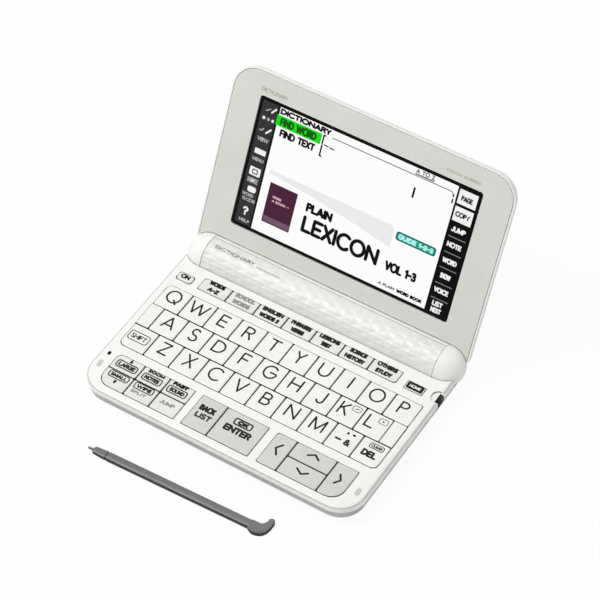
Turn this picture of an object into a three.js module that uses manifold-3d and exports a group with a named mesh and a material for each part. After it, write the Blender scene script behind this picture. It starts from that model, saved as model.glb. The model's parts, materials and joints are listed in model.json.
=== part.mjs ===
// Pocket electronic dictionary: a keyboard base, a lid with a touch display on a barrel hinge,
// and a stylus that lies on the table in front of the base.
// Millimetres. X runs right along the front edge, Y runs back to the hinge, Z is up.
import * as THREE from 'three';
import { mergeVertices } from 'three/addons/utils/BufferGeometryUtils.js';
import Module from 'manifold-3d';

const wasm = await Module();
wasm.setup();

// Clearances
const GAP = 0.3;
const OVERRUN = 2;

// Keyboard layout
const KEY_PITCH = 13.74;
const ROW_PITCH = 14.05;
const KEYS_PER_ROW = 10;
const DECK_SIDE_MARGIN = 4.3;
const DECK_FRONT_MARGIN = 4.06;
const LOWER_KEYS_DEPTH = 19.05;
const LOWER_KEYS_SPLIT = 9.95;
const LOWER_TO_LETTERS = 4.5;
const LETTERS_TO_FUNCTIONS = 4.35;
const FUNCTION_DEPTH = 7.8;
const FUNCTION_PITCH = 15.37;
const FUNCTION_COUNT = 7;
const FUNCTIONS_INDENT = 12.25;
const POWER_WIDTH = 8.7;
const MODE_WIDTH = 9.8;
const LONE_KEY_DEPTH = 5.2;
const MODE_INDENT = 3.9;
const LEFT_GROUP_INDENT = 4.15;
const LEFT_GROUP_FIRST = 14.6;
const LEFT_GROUP_SECOND = 13.85;
const LEFT_GROUP_THIRD = 13.6;
const GROUP_SPACING = 3.65;
const LIST_KEY_WIDTH = 13.7;
const ENTER_KEY_WIDTH = 22.05;
const CURSOR_SPACING = 4.25;
const CURSOR_SIDE_WIDTH = 10.45;
const CURSOR_MIDDLE_WIDTH = 20.75;
const CURSOR_END_WIDTH = 11.25;
const DECK_REAR_MARGIN = 4.3;

// Keycaps
const KEY_SPACING = 0.6;
const KEY_RISE = 0.45;
const KEY_BEVEL = 0.3;
const KEY_FRONT_SLOPE = 1.1;
const KEY_CORNER = 0.6;
const DEEP_KEY_BELOW = 2.2;
const THIN_KEY_BELOW = 1.5;
const KEY_TRAVEL = 0.8;
const PLUNGER_RADIUS = 2;
const PLUNGER_SIDES = 8;
const GROUP_CORNER = 3;
const SMALL_GROUP_CORNER = 1.5;
const LEFT_GROUP_CORNER = 6;
const CURSOR_GROUP_CORNER = 7;

// Base shells
const BASE_WIDTH = KEYS_PER_ROW * KEY_PITCH + 2 * DECK_SIDE_MARGIN;
const BASE_THICKNESS = 9;
const BASE_CORNER = 13;
const SEAM_DEPTH = 3.2;
const SEAM_REVEAL = 0.15;
const DECK_PLATE = 1.6;
const DECK_EDGE_SIDE = 2.2;
const DECK_EDGE_FRONT = 0.95;
const DECK_EDGE_HEIGHT = 1.6;
const SIDE_WALL = 2.4;
const FRONT_WALL = 1.6;
const CASE_UNDERCUT = 1.2;
const CASE_EDGE = 1.0;
const CASE_FLOOR = 1.4;
const FRONT_FOOT_RADIUS = 4;
const REAR_FOOT_HEIGHT = 0.35;
const REAR_FOOT_WIDTH = 5;

// Battery cells
const CELL_RADIUS = 7.25;
const CELL_LENGTH = 50.5;
const CELL_NUB_RADIUS = 2.6;
const CELL_NUB_LENGTH = 0.8;

// Hinge barrel
const BARREL_WALL = 2.3;
const BARREL_AXIS_DROP = 0.94;
const RELIEF_DEPTH = 0.25;
const RELIEF_COLUMNS = 28;
const RELIEF_ROWS = 8;
const PLAIN_ROWS = 6;
const BORDER_ANGLE = THREE.MathUtils.degToRad(69.3);
const BORDER_GROOVE_ANGLE = THREE.MathUtils.degToRad(2);
const BORDER_GROOVE_DEPTH = 0.4;
const SHELL_REAR_ANGLE = THREE.MathUtils.degToRad(-25);
const SHELL_FRONT_ANGLE = THREE.MathUtils.degToRad(178);
const COVER_FRONT_ANGLE = THREE.MathUtils.degToRad(258);
const JOINT_ANGLE = THREE.MathUtils.degToRad(2);
const FULL_TURN = 2 * Math.PI;
const CRADLE_WALL = 1.15;
const PIN_RADIUS = 2.4;
const PIN_LENGTH = 6;
const CAP_LENGTH = 11;
const CAP_PROUD = 0.3;
const CAP_FULLNESS = 2.3;

// Lid
const LID_OPEN_ANGLE = THREE.MathUtils.degToRad(115.7);
const LID_CLOSED_GAP = 1.29;
const LID_THICKNESS = 5.1;
const LID_SIDE_OVERHANG = 0.7;
const LID_FRONT_OVERHANG = 0.65;
const LID_CORNER = 12.5;
const LID_EDGE = 2.6;
const LID_RIM = 0.9;
const LID_RIM_DROP = 0.15;
const LID_LOW_END = 1.5;
const LID_EAR_CORNER = 5;
const LID_BACK_WALL = 1.15;
const BEZEL_THICKNESS = 1.15;
const BEZEL_EDGE = 0.2;
const DISPLAY_WIDTH = 116.2;
const DISPLAY_HEIGHT = 65.8;
const DISPLAY_LOW = 18.8;
const DISPLAY_CORNER = 1.2;
const DISPLAY_RECESS = 0.2;

// Circuit board
const BOARD_WIDTH = 130;
const BOARD_THICKNESS = 1;
const BOARD_DROP = 4.6;
const BOARD_MARGIN = 3.5;
const BOARD_CORNER = 9;
const CHIP_SIZE = 14;
const CHIP_THICKNESS = 1.2;
const BOSS_RADIUS = 2.2;
const BOSS_INSET = 9;

// Stylus and the channel that stores it
const STYLUS_LENGTH = 93.6;
const STYLUS_WIDTH = 4.6;
const STYLUS_THICKNESS = 3.3;
const STYLUS_RIGHT_END = 43.2;
const STYLUS_TABLE_GAP = 18;
const STYLUS_TURN = THREE.MathUtils.degToRad(1.77);
const STYLUS_TIP_LENGTH = 9.8;
const STYLUS_ROUND_SHARE = 0.45;
const NIB_LENGTH = 2.4;
const NIB_WIDTH = 1.1;
const GROOVE_WIDTH = 0.7;
const GROOVE_DEPTH = 0.4;
const HEAD_LENGTH = 9.2;
const HEAD_LIP = 2.9;
const HEAD_LEAN = 1.2;
const HEAD_REACH = 7;
const HEAD_SWELL = 1.2;
const HEAD_BEVEL = 0.5;
const CHANNEL_ROOM = 0.5;
const CHANNEL_HEADROOM = 0.7;
const CHANNEL_TOP_DROP = 2.3;
const CHANNEL_WALL = 0.9;
const CHANNEL_CORNER = 0.8;
const CHANNEL_REAR_SETBACK = 1.5;
const NOTCH_LENGTH = 4.9;
const NOTCH_WIDTH = 7;
const NOTCH_DEPTH = 0.7;
const SLOT_LENGTH = 2;

// Counts of steps and sides round curves
const SHARP_STEPS = 2;
const ROUND_STEPS = 5;
const CORNER_STEPS = 9;
const EDGE_STEPS = 3;
const PIN_SIDES = 16;
const ROUND_SIDES = 24;
const HINGE_SIDES = 48;
const DOME_STEPS = 8;

// Corners of an outline, counted from the front left
const FRONT_LEFT = 0;
const FRONT_RIGHT = 1;
const REAR_LEFT = 3;

// Places worked out from the sizes: x from the middle, y from the front edge, z from the table
const HALF_BASE = BASE_WIDTH / 2;
const HALF_LID = HALF_BASE + LID_SIDE_OVERHANG;
const BARREL_BORE = CELL_RADIUS + GAP;
const BARREL_RADIUS = BARREL_BORE + BARREL_WALL;
const SWING_RADIUS = BARREL_RADIUS + GAP;
const CAP_START = HALF_LID + CAP_PROUD - CAP_LENGTH;
const BARREL_HALF_LENGTH = CAP_START - GAP;
const AXIS_Z = BARREL_RADIUS + REAR_FOOT_HEIGHT;
const DECK_Z = AXIS_Z + BARREL_AXIS_DROP;
const SEAM_Z = DECK_Z - SEAM_DEPTH;
const CASE_Z = DECK_Z - BASE_THICKNESS;
const FLOOR_Z = CASE_Z + CASE_FLOOR;
const LETTERS_LEFT = -KEYS_PER_ROW * KEY_PITCH / 2;
const LOWER_FRONT = DECK_FRONT_MARGIN;
const LOWER_MIDDLE = LOWER_FRONT + LOWER_KEYS_SPLIT;
const LOWER_REAR = LOWER_FRONT + LOWER_KEYS_DEPTH;
const LEFT_GROUP_LEFT = LETTERS_LEFT + LEFT_GROUP_INDENT;
const LEFT_GROUP_WIDTHS = [LEFT_GROUP_FIRST, LEFT_GROUP_SECOND, LEFT_GROUP_THIRD];
const LEFT_GROUP_RIGHT = LEFT_GROUP_LEFT + LEFT_GROUP_FIRST + LEFT_GROUP_SECOND + LEFT_GROUP_THIRD;
const MIDDLE_GROUP_LEFT = LEFT_GROUP_RIGHT + GROUP_SPACING;
const MIDDLE_GROUP_WIDTHS = [LIST_KEY_WIDTH, ENTER_KEY_WIDTH];
const CURSOR_GROUP_LEFT = MIDDLE_GROUP_LEFT + LIST_KEY_WIDTH + ENTER_KEY_WIDTH + CURSOR_SPACING;
const CURSOR_GROUP_WIDTHS = [CURSOR_SIDE_WIDTH, CURSOR_MIDDLE_WIDTH, CURSOR_END_WIDTH];
const LETTERS_FRONT = LOWER_REAR + LOWER_TO_LETTERS;
const LETTERS_REAR = LETTERS_FRONT + 3 * ROW_PITCH;
const FUNCTIONS_FRONT = LETTERS_REAR + LETTERS_TO_FUNCTIONS;
const FUNCTIONS_REAR = FUNCTIONS_FRONT + FUNCTION_DEPTH;
const FUNCTIONS_LEFT = LETTERS_LEFT + FUNCTIONS_INDENT;
const MODE_LEFT = -LETTERS_LEFT - MODE_INDENT - MODE_WIDTH;
const AXIS_Y = FUNCTIONS_REAR + DECK_REAR_MARGIN + BARREL_RADIUS;
const BLOCK_START = CELL_LENGTH + GAP;
const PARTING_Z = BARREL_RADIUS * Math.sin(SHELL_REAR_ANGLE) - GAP;
const BASE_REAR = AXIS_Y;
const CHANNEL_REAR = FUNCTIONS_REAR - CHANNEL_REAR_SETBACK;
const CHANNEL_FRONT = CHANNEL_REAR - STYLUS_WIDTH - 2 * CHANNEL_ROOM;
const CHANNEL_MIDDLE = (CHANNEL_FRONT + CHANNEL_REAR) / 2;
const CHANNEL_END = HALF_BASE - STYLUS_LENGTH - GAP;
const CHANNEL_TOP = DECK_Z - CHANNEL_TOP_DROP;
const CHANNEL_FLOOR = CHANNEL_TOP - STYLUS_THICKNESS - 2 * CHANNEL_HEADROOM;
const BOARD_TOP = DECK_Z - BOARD_DROP;
const HALF_BOARD = BOARD_WIDTH / 2;
const BOARD_FRONT = BOARD_MARGIN;
const BOARD_REAR = CHANNEL_FRONT - CHANNEL_WALL - GAP;
const KEY_TOP = DECK_Z + KEY_RISE;
const KEY_CLEARANCE = GAP - KEY_SPACING / 2;
const LID_FACE = -(LID_CLOSED_GAP + BARREL_AXIS_DROP);
const LID_BACK = LID_FACE - LID_THICKNESS;
const LID_TOP = AXIS_Y + LID_FRONT_OVERHANG;

const finish = (color, roughness, metalness = 0) =>
  new THREE.MeshStandardMaterial({ color, roughness, metalness });
const WHITE_PLASTIC = finish('#f3f3ef', 0.4);
const KEY_WHITE = finish('#f6f6f2', 0.45);
const KEY_GREY = finish('#d2d2cd', 0.45);
const CASE_GREY = finish('#c4c4c0', 0.5);
const BARREL_PEARL = finish('#ebebe6', 0.3);
const BEZEL_GREY = finish('#d6d6d0', 0.45);
const GLASS_BLACK = finish('#0e0e10', 0.15);
const STYLUS_GREY = finish('#808083', 0.45);
const BOARD_GREEN = finish('#2c6b45', 0.6);
const CELL_SLEEVE = finish('#3a5f9e', 0.35, 0.2);

const solidFrom = (positions, index) => new wasm.Manifold(new wasm.Mesh({
  numProp: 3,
  vertProperties: new Float32Array(positions),
  triVerts: new Uint32Array(index),
}));

// Solid from a closed geometry. The slivers that meet on a turned shape's axis are left out.
function solidOf(geometry) {
  const bare = new THREE.BufferGeometry();
  bare.setAttribute('position', geometry.getAttribute('position'));
  bare.setIndex(geometry.getIndex());
  const merged = mergeVertices(bare);
  const index = merged.getIndex().array;
  const kept = [];
  for (let i = 0; i < index.length; i += 3) {
    const [a, b, c] = index.slice(i, i + 3);
    if (a !== b && b !== c && c !== a) kept.push(a, b, c);
  }
  return solidFrom(merged.getAttribute('position').array, kept);
}

function cut(solid, ...tools) {
  return tools.reduce((rest, tool) => rest.subtract(tool), solid);
}

function join(...solids) {
  return solids.reduce((whole, next) => whole.add(next));
}

function geometryOf(solid) {
  const mesh = solid.getMesh();
  const geometry = new THREE.BufferGeometry();
  geometry.setAttribute('position', new THREE.BufferAttribute(mesh.vertProperties, mesh.numProp));
  geometry.setIndex(new THREE.BufferAttribute(mesh.triVerts, 1));
  return geometry;
}

// Named mesh from a solid.
function piece(name, solid, material) {
  const node = new THREE.Mesh(geometryOf(solid), material);
  node.name = name;
  return node;
}

// Copy of a solid, moved or mirrored.
function placed(solid, matrix) {
  const geometry = geometryOf(solid).applyMatrix4(matrix);
  const index = Array.from(geometry.getIndex().array);
  if (matrix.determinant() < 0) index.reverse();
  return solidFrom(geometry.getAttribute('position').array, index);
}

const rectangle = (x0, x1, y0, y1) => ({ x0, x1, y0, y1 });
const grown = (box, by) => rectangle(box.x0 - by, box.x1 + by, box.y0 - by, box.y1 + by);
const evenCorners = (radius) => [radius, radius, radius, radius];
const keyCorners = (rounded, radius) =>
  evenCorners(KEY_CORNER).map((sharp, corner) => (corner === rounded ? radius : sharp));

// Points of a rectangle with rounded corners, in the order front left, front right, rear right, rear left.
function roundedPoints(box, radii, steps) {
  const corners = [
    [box.x0, box.y0, 1, 1, Math.PI],
    [box.x1, box.y0, -1, 1, 1.5 * Math.PI],
    [box.x1, box.y1, -1, -1, 0],
    [box.x0, box.y1, 1, -1, 0.5 * Math.PI],
  ];
  return corners.flatMap(([x, y, inX, inY, start], corner) => {
    const radius = radii[corner];
    const centre = new THREE.Vector2(x + inX * radius, y + inY * radius);
    return Array.from({ length: steps + 1 }, (_, step) => {
      const angle = start + (Math.PI / 2) * (step / steps);
      return new THREE.Vector2(Math.cos(angle), Math.sin(angle)).multiplyScalar(radius).add(centre);
    });
  });
}

// One level of a moulded shell: the outline drawn in at each side, at height z.
function level(box, radii, steps, z, inset = {}) {
  const { side = 0, front = 0, rear = 0 } = inset;
  const inner = rectangle(box.x0 + side, box.x1 - side, box.y0 + front, box.y1 - rear);
  const drawIn = (side + Math.max(front, rear)) / 2;
  const tight = radii.map((radius) => Math.max(radius - drawIn, radius / 4));
  return { points: roundedPoints(inner, tight, steps), z };
}

// Closed skin through rings of equally many points. turned(i, j) picks the other diagonal.
function loft(rings, turned = () => false) {
  const count = rings[0].points.length;
  const positions = rings.flatMap(({ points, z }) => points.flatMap((point) => [point.x, point.y, z]));
  const index = [];
  for (let i = 0; i + 1 < rings.length; i += 1) {
    for (let j = 0; j < count; j += 1) {
      const a = i * count + j;
      const b = i * count + (j + 1) % count;
      const c = b + count;
      const d = a + count;
      index.push(...(turned(i, j) ? [a, b, d, b, c, d] : [a, b, c, a, c, d]));
    }
  }
  const last = (rings.length - 1) * count;
  const bottom = THREE.ShapeUtils.triangulateShape(rings[0].points, []);
  const top = THREE.ShapeUtils.triangulateShape(rings[rings.length - 1].points, []);
  bottom.forEach(([a, b, c]) => index.push(a, c, b));
  top.forEach(([a, b, c]) => index.push(last + a, last + b, last + c));
  const geometry = new THREE.BufferGeometry();
  geometry.setAttribute('position', new THREE.Float32BufferAttribute(positions, 3));
  geometry.setIndex(index);
  return geometry;
}

function slab(box, z0, z1, radii, steps) {
  const points = roundedPoints(box, radii, steps);
  return solidOf(loft([{ points, z: z0 }, { points, z: z1 }]));
}

function block(x0, x1, y0, y1, z0, z1) {
  const geometry = new THREE.BoxGeometry(x1 - x0, y1 - y0, z1 - z0);
  geometry.translate((x0 + x1) / 2, (y0 + y1) / 2, (z0 + z1) / 2);
  return solidOf(geometry);
}

function upright(x, y, z0, z1, radius, sides) {
  const geometry = new THREE.CylinderGeometry(radius, radius, z1 - z0, sides);
  geometry.rotateX(Math.PI / 2);
  geometry.translate(x, y, (z0 + z1) / 2);
  return solidOf(geometry);
}

// Turns a geometry drawn in (y, z) and raised along its own z so that it is raised along X.
function alongX(geometry) {
  const turn = new THREE.Matrix4().makeBasis(
    new THREE.Vector3(0, 1, 0),
    new THREE.Vector3(0, 0, 1),
    new THREE.Vector3(1, 0, 0),
  );
  return geometry.applyMatrix4(turn);
}

// Points of a ring sector about the hinge axis, at y = 0 and z = 0 here.
function sectorPoints(inner, outer, from, to, steps) {
  const arc = (radius, start, end) => Array.from({ length: steps + 1 }, (_, step) => {
    const angle = start + (end - start) * (step / steps);
    return new THREE.Vector2(radius * Math.cos(angle), radius * Math.sin(angle));
  });
  return [...arc(outer, from, to), ...arc(inner, to, from)];
}

function sector(inner, outer, from, to, x0, x1, steps = 12) {
  const points = sectorPoints(inner, outer, from, to, steps);
  return solidOf(alongX(loft([{ points, z: x0 }, { points, z: x1 }])));
}

function roundBar(radius, x0, x1, sides) {
  const geometry = new THREE.CylinderGeometry(radius, radius, x1 - x0, sides);
  geometry.rotateZ(-Math.PI / 2);
  geometry.translate((x0 + x1) / 2, 0, 0);
  return solidOf(geometry);
}

const atAxis = (solid) => placed(solid, new THREE.Matrix4().makeTranslation(0, AXIS_Y, AXIS_Z));
const bothEnds = (solid) => join(solid, placed(solid, new THREE.Matrix4().makeScale(-1, 1, 1)));

// Levels of an edge that rounds over height onto a face; a negative height rounds an underside.
function roundedEdge(face, height, { side = 0, front = 0, rear = 0 }) {
  return Array.from({ length: EDGE_STEPS + 1 }, (_, step) => {
    const angle = (Math.PI / 2) * (step / EDGE_STEPS);
    const drawn = 1 - Math.cos(angle);
    const z = face - height * (1 - Math.sin(angle));
    return { z, side: side * drawn, front: front * drawn, rear: rear * drawn };
  });
}

// Cell of the letter keyboard: row 0 is the front one.
function rowBox(row, from, to) {
  const front = LETTERS_FRONT + row * ROW_PITCH;
  return rectangle(LETTERS_LEFT + from, LETTERS_LEFT + to, front, front + ROW_PITCH);
}

// One moulded body: each level of the profile draws the outline in as its inset says.
function moulded(box, radii, steps, profile) {
  return solidOf(loft(profile.map(({ z, ...inset }) => level(box, radii, steps, z, inset))));
}

// Keyboard: each key's cell, its corner radii and its finish
function letterCells() {
  const rows = [
    { keys: ['q', 'w', 'e', 'r', 't', 'y', 'u', 'i', 'o', 'p'], row: 2, offset: 0 },
    { keys: ['a', 's', 'd', 'f', 'g', 'h', 'j', 'k', 'l'], row: 1, offset: KEY_PITCH / 2 },
    { keys: ['shift', 'z', 'x', 'c', 'v', 'b', 'n', 'm', 'symbol', 'delete'], row: 0, offset: 0 },
  ];
  const roundedCorner = { q: REAR_LEFT, shift: FRONT_LEFT, delete: FRONT_RIGHT };
  return rows.flatMap(({ keys, row, offset }) => keys.map((key, index) => ({
    name: `key_${key}`,
    box: rowBox(row, offset + index * KEY_PITCH, offset + (index + 1) * KEY_PITCH),
    corners: keyCorners(roundedCorner[key], GROUP_CORNER),
    below: DEEP_KEY_BELOW,
    slope: KEY_FRONT_SLOPE,
    material: KEY_WHITE,
  })));
}

function functionCells() {
  return Array.from({ length: FUNCTION_COUNT }, (_, index) => {
    const x0 = FUNCTIONS_LEFT + index * FUNCTION_PITCH;
    const roundedCorner = { 0: REAR_LEFT, [FUNCTION_COUNT - 1]: FRONT_RIGHT }[index];
    return {
      name: `key_function_${index + 1}`,
      box: rectangle(x0, x0 + FUNCTION_PITCH, FUNCTIONS_FRONT, FUNCTIONS_REAR),
      corners: keyCorners(roundedCorner, SMALL_GROUP_CORNER),
      below: THIN_KEY_BELOW,
      slope: KEY_BEVEL,
      material: KEY_WHITE,
    };
  });
}

function loneCells() {
  const rear = FUNCTIONS_FRONT + LONE_KEY_DEPTH;
  const power = rectangle(LETTERS_LEFT, LETTERS_LEFT + POWER_WIDTH, FUNCTIONS_FRONT, rear);
  const mode = rectangle(MODE_LEFT, MODE_LEFT + MODE_WIDTH, FUNCTIONS_FRONT, rear);
  const shared = { below: THIN_KEY_BELOW, slope: KEY_BEVEL, material: KEY_WHITE };
  return [
    { name: 'key_power', box: power, corners: evenCorners(SMALL_GROUP_CORNER), ...shared },
    { name: 'key_mode', box: mode, corners: evenCorners(KEY_CORNER), ...shared },
  ];
}

// Keys side by side from x0, each as wide as its entry in widths.
function sideBySide(x0, widths, y0, y1) {
  let right = x0;
  return widths.map((width) => {
    const left = right;
    right += width;
    return rectangle(left, right, y0, y1);
  });
}

function lowerCells() {
  const shared = { below: DEEP_KEY_BELOW, slope: KEY_BEVEL };
  const cells = [];
  const frontRow = sideBySide(LEFT_GROUP_LEFT, LEFT_GROUP_WIDTHS, LOWER_FRONT, LOWER_MIDDLE);
  const rearRow = sideBySide(LEFT_GROUP_LEFT, LEFT_GROUP_WIDTHS, LOWER_MIDDLE, LOWER_REAR);
  [...frontRow, ...rearRow].forEach((box, index) => cells.push({
    name: `key_left_${index + 1}`,
    box,
    corners: index === 0 ? keyCorners(FRONT_LEFT, LEFT_GROUP_CORNER)
      : keyCorners(index === frontRow.length ? REAR_LEFT : undefined, GROUP_CORNER),
    material: KEY_WHITE,
    ...shared,
  }));
  const [list, enter] = sideBySide(MIDDLE_GROUP_LEFT, MIDDLE_GROUP_WIDTHS, LOWER_FRONT, LOWER_REAR);
  const [left, middle, right] = sideBySide(CURSOR_GROUP_LEFT, CURSOR_GROUP_WIDTHS, LOWER_FRONT, LOWER_REAR);
  const grey = (name, box, corners = evenCorners(KEY_CORNER)) =>
    cells.push({ name, box, corners, material: KEY_GREY, ...shared });
  grey('key_list', list);
  grey('key_enter', enter);
  grey('key_cursor_left', left, keyCorners(REAR_LEFT, SMALL_GROUP_CORNER));
  grey('key_cursor_up', { ...middle, y0: LOWER_MIDDLE });
  grey('key_cursor_down', { ...middle, y1: LOWER_MIDDLE });
  grey('key_cursor_right', right, keyCorners(FRONT_RIGHT, CURSOR_GROUP_CORNER));
  return cells;
}

// A keycap with bevelled edges and, where it is deep, a plunger under its middle.
function keycap({ name, box, corners, below, slope, material }) {
  const steps = Math.max(...corners) > SMALL_GROUP_CORNER ? ROUND_STEPS : SHARP_STEPS;
  const bottom = DECK_Z - below;
  const cap = moulded(grown(box, -KEY_SPACING / 2), corners, steps, [
    { z: bottom },
    { z: KEY_TOP - KEY_BEVEL },
    { z: KEY_TOP, side: KEY_BEVEL, rear: KEY_BEVEL, front: slope },
  ]);
  if (below < DEEP_KEY_BELOW) return piece(name, cap, material);
  const plungerFoot = BOARD_TOP + KEY_TRAVEL + GAP;
  const x = (box.x0 + box.x1) / 2;
  const y = (box.y0 + box.y1) / 2;
  const plunger = upright(x, y, plungerFoot, bottom + GAP, PLUNGER_RADIUS, PLUNGER_SIDES);
  return piece(name, join(cap, plunger), material);
}

// The holes of the deck, one for each group of keys
function deckHoles() {
  const through = [DECK_Z - DECK_PLATE - OVERRUN, DECK_Z + OVERRUN];
  const hole = (box, corners) => slab(grown(box, KEY_CLEARANCE), ...through, corners, ROUND_STEPS);
  const rowEnd = KEYS_PER_ROW * KEY_PITCH;
  const group = (left, widths, corners) => {
    const cells = sideBySide(left, widths, LOWER_FRONT, LOWER_REAR);
    return hole({ ...cells[0], x1: cells[cells.length - 1].x1 }, corners);
  };
  return [
    hole(rowBox(2, 0, rowEnd), keyCorners(REAR_LEFT, GROUP_CORNER)),
    hole(rowBox(1, KEY_PITCH / 2, rowEnd - KEY_PITCH / 2), evenCorners(KEY_CORNER)),
    hole(rowBox(0, 0, rowEnd), [GROUP_CORNER, GROUP_CORNER, KEY_CORNER, KEY_CORNER]),
    group(LEFT_GROUP_LEFT, LEFT_GROUP_WIDTHS, [LEFT_GROUP_CORNER, KEY_CORNER, KEY_CORNER, GROUP_CORNER]),
    group(MIDDLE_GROUP_LEFT, MIDDLE_GROUP_WIDTHS, evenCorners(KEY_CORNER)),
    group(CURSOR_GROUP_LEFT, CURSOR_GROUP_WIDTHS,
      [KEY_CORNER, CURSOR_GROUP_CORNER, KEY_CORNER, SMALL_GROUP_CORNER]),
    hole(rectangle(FUNCTIONS_LEFT, FUNCTIONS_LEFT + FUNCTION_COUNT * FUNCTION_PITCH, FUNCTIONS_FRONT,
      FUNCTIONS_REAR), [KEY_CORNER, SMALL_GROUP_CORNER, KEY_CORNER, SMALL_GROUP_CORNER]),
    ...loneCells().map(({ box, corners }) => hole(box, corners)),
  ];
}

// Blank half keys that fill the ends of the middle letter row, as raised parts of the deck
function fillers() {
  const rowEnd = KEYS_PER_ROW * KEY_PITCH;
  return [[0, KEY_PITCH / 2], [rowEnd - KEY_PITCH / 2, rowEnd]].map(([from, to]) =>
    moulded(grown(rowBox(1, from, to), -KEY_SPACING / 2), evenCorners(KEY_CORNER), SHARP_STEPS, [
      { z: DECK_Z - DECK_PLATE },
      { z: KEY_TOP - KEY_BEVEL },
      { z: KEY_TOP, side: KEY_BEVEL, rear: KEY_BEVEL, front: KEY_BEVEL },
    ]));
}

const baseOutline = rectangle(-HALF_BASE, HALF_BASE, 0, BASE_REAR);
const baseCorners = [BASE_CORNER, BASE_CORNER, KEY_CORNER, KEY_CORNER];

// Domed end cap of the hinge about its axis, grown by margin all round
function domedCap(margin) {
  const arc = Array.from({ length: DOME_STEPS + 1 }, (_, step) => {
    const angle = (Math.PI / 2) * (step / DOME_STEPS);
    const radius = (BARREL_RADIUS + margin) * Math.cos(angle) ** (2 / CAP_FULLNESS);
    return new THREE.Vector2(radius, (CAP_LENGTH + margin) * Math.sin(angle) ** (2 / CAP_FULLNESS));
  });
  arc[DOME_STEPS].x = 0;
  const geometry = new THREE.LatheGeometry([new THREE.Vector2(0, 0), ...arc], HINGE_SIDES);
  geometry.rotateZ(-Math.PI / 2);
  geometry.translate(CAP_START, 0, 0);
  return solidOf(geometry);
}

const hingeRoom = (radius, from, to) => atAxis(roundBar(radius, from, to, HINGE_SIDES));

// Room that the turning end caps need, and the walls round it that close the base
function capRooms() {
  const reach = hingeRoom(SWING_RADIUS, BARREL_HALF_LENGTH, CAP_START);
  return bothEnds(join(reach, atAxis(domedCap(GAP))));
}

function cradles() {
  return bothEnds(hingeRoom(SWING_RADIUS + CRADLE_WALL, BARREL_HALF_LENGTH - CRADLE_WALL, HALF_BASE));
}

function channelBore(x0, x1) {
  const outline = rectangle(CHANNEL_FRONT, CHANNEL_REAR, CHANNEL_FLOOR, CHANNEL_TOP);
  const points = roundedPoints(outline, evenCorners(CHANNEL_CORNER), SHARP_STEPS);
  return solidOf(alongX(loft([{ points, z: x0 }, { points, z: x1 }])));
}

function baseTopCover() {
  const skin = moulded(baseOutline, baseCorners, CORNER_STEPS, [
    { z: SEAM_Z },
    ...roundedEdge(DECK_Z, DECK_EDGE_HEIGHT, { side: DECK_EDGE_SIDE, front: DECK_EDGE_FRONT }),
  ]);
  const walls = { side: SIDE_WALL, front: FRONT_WALL, rear: -OVERRUN };
  const hollow = moulded(baseOutline, baseCorners, CORNER_STEPS, [
    { z: SEAM_Z - OVERRUN, ...walls },
    { z: DECK_Z - DECK_PLATE, ...walls },
  ]);
  const notchBox = rectangle(HALF_BASE - NOTCH_LENGTH, HALF_BASE + OVERRUN + NOTCH_WIDTH / 2,
    CHANNEL_MIDDLE - NOTCH_WIDTH / 2, CHANNEL_MIDDLE + NOTCH_WIDTH / 2);
  const notch = slab(notchBox, DECK_Z - NOTCH_DEPTH, DECK_Z + OVERRUN, evenCorners(NOTCH_WIDTH / 2 - GAP),
    CORNER_STEPS);
  const slot = block(HALF_BASE - SLOT_LENGTH, HALF_BASE + OVERRUN, CHANNEL_FRONT, CHANNEL_REAR, SEAM_Z,
    DECK_Z + OVERRUN);
  const bore = channelBore(HALF_BASE - 2 * SIDE_WALL, HALF_BASE + OVERRUN);
  const cover = cut(skin, cut(hollow, cradles()), ...deckHoles(), notch, slot, bore, capRooms(),
    hingeRoom(SWING_RADIUS, -CAP_START, CAP_START));
  return piece('base_top_cover', join(cover, ...fillers()), WHITE_PLASTIC);
}

// Lower part of the hinge barrel that belongs to the case, with the blocks that take the hinge pins
function lowerBarrel() {
  const front = sector(BARREL_BORE, BARREL_RADIUS, Math.PI, COVER_FRONT_ANGLE - JOINT_ANGLE,
    -BARREL_HALF_LENGTH, BARREL_HALF_LENGTH, ROUND_STEPS);
  const core = roundBar(CELL_RADIUS, BLOCK_START, BARREL_HALF_LENGTH, HINGE_SIDES);
  const under = sector(CELL_RADIUS - GAP, BARREL_RADIUS, Math.PI, FULL_TURN + SHELL_REAR_ANGLE,
    BLOCK_START, BARREL_HALF_LENGTH, ROUND_SIDES);
  const above = block(0, HALF_BASE, CELL_RADIUS / 2, BARREL_RADIUS + OVERRUN, PARTING_Z, BARREL_RADIUS);
  const boreEnd = CAP_START - PIN_LENGTH - GAP;
  const bore = roundBar(PIN_RADIUS + GAP, boreEnd, BARREL_HALF_LENGTH + OVERRUN, PIN_SIDES);
  const end = cut(join(core, cut(under, above)), bore);
  return atAxis(join(front, bothEnds(end)));
}

function feet() {
  const front = upright(HALF_BASE - BASE_CORNER, BASE_CORNER, 0, CASE_Z + GAP, FRONT_FOOT_RADIUS,
    ROUND_SIDES);
  const rearX = (BLOCK_START + BARREL_HALF_LENGTH) / 2;
  const rear = block(rearX - REAR_FOOT_WIDTH / 2, rearX + REAR_FOOT_WIDTH / 2,
    AXIS_Y - REAR_FOOT_WIDTH / 2, AXIS_Y + REAR_FOOT_WIDTH / 2, 0, REAR_FOOT_HEIGHT + CASE_FLOOR);
  return bothEnds(join(front, rear));
}

function boardBosses() {
  const top = BOARD_TOP - BOARD_THICKNESS - GAP;
  const rows = [BOARD_FRONT + BOSS_INSET, BOARD_REAR - BOSS_INSET];
  const columns = [-HALF_BOARD + BOSS_INSET, 0, HALF_BOARD - BOSS_INSET];
  return rows.flatMap((y) => columns.map((x) =>
    upright(x, y, FLOOR_Z - GAP, top, BOSS_RADIUS, PLUNGER_SIDES)));
}

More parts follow.
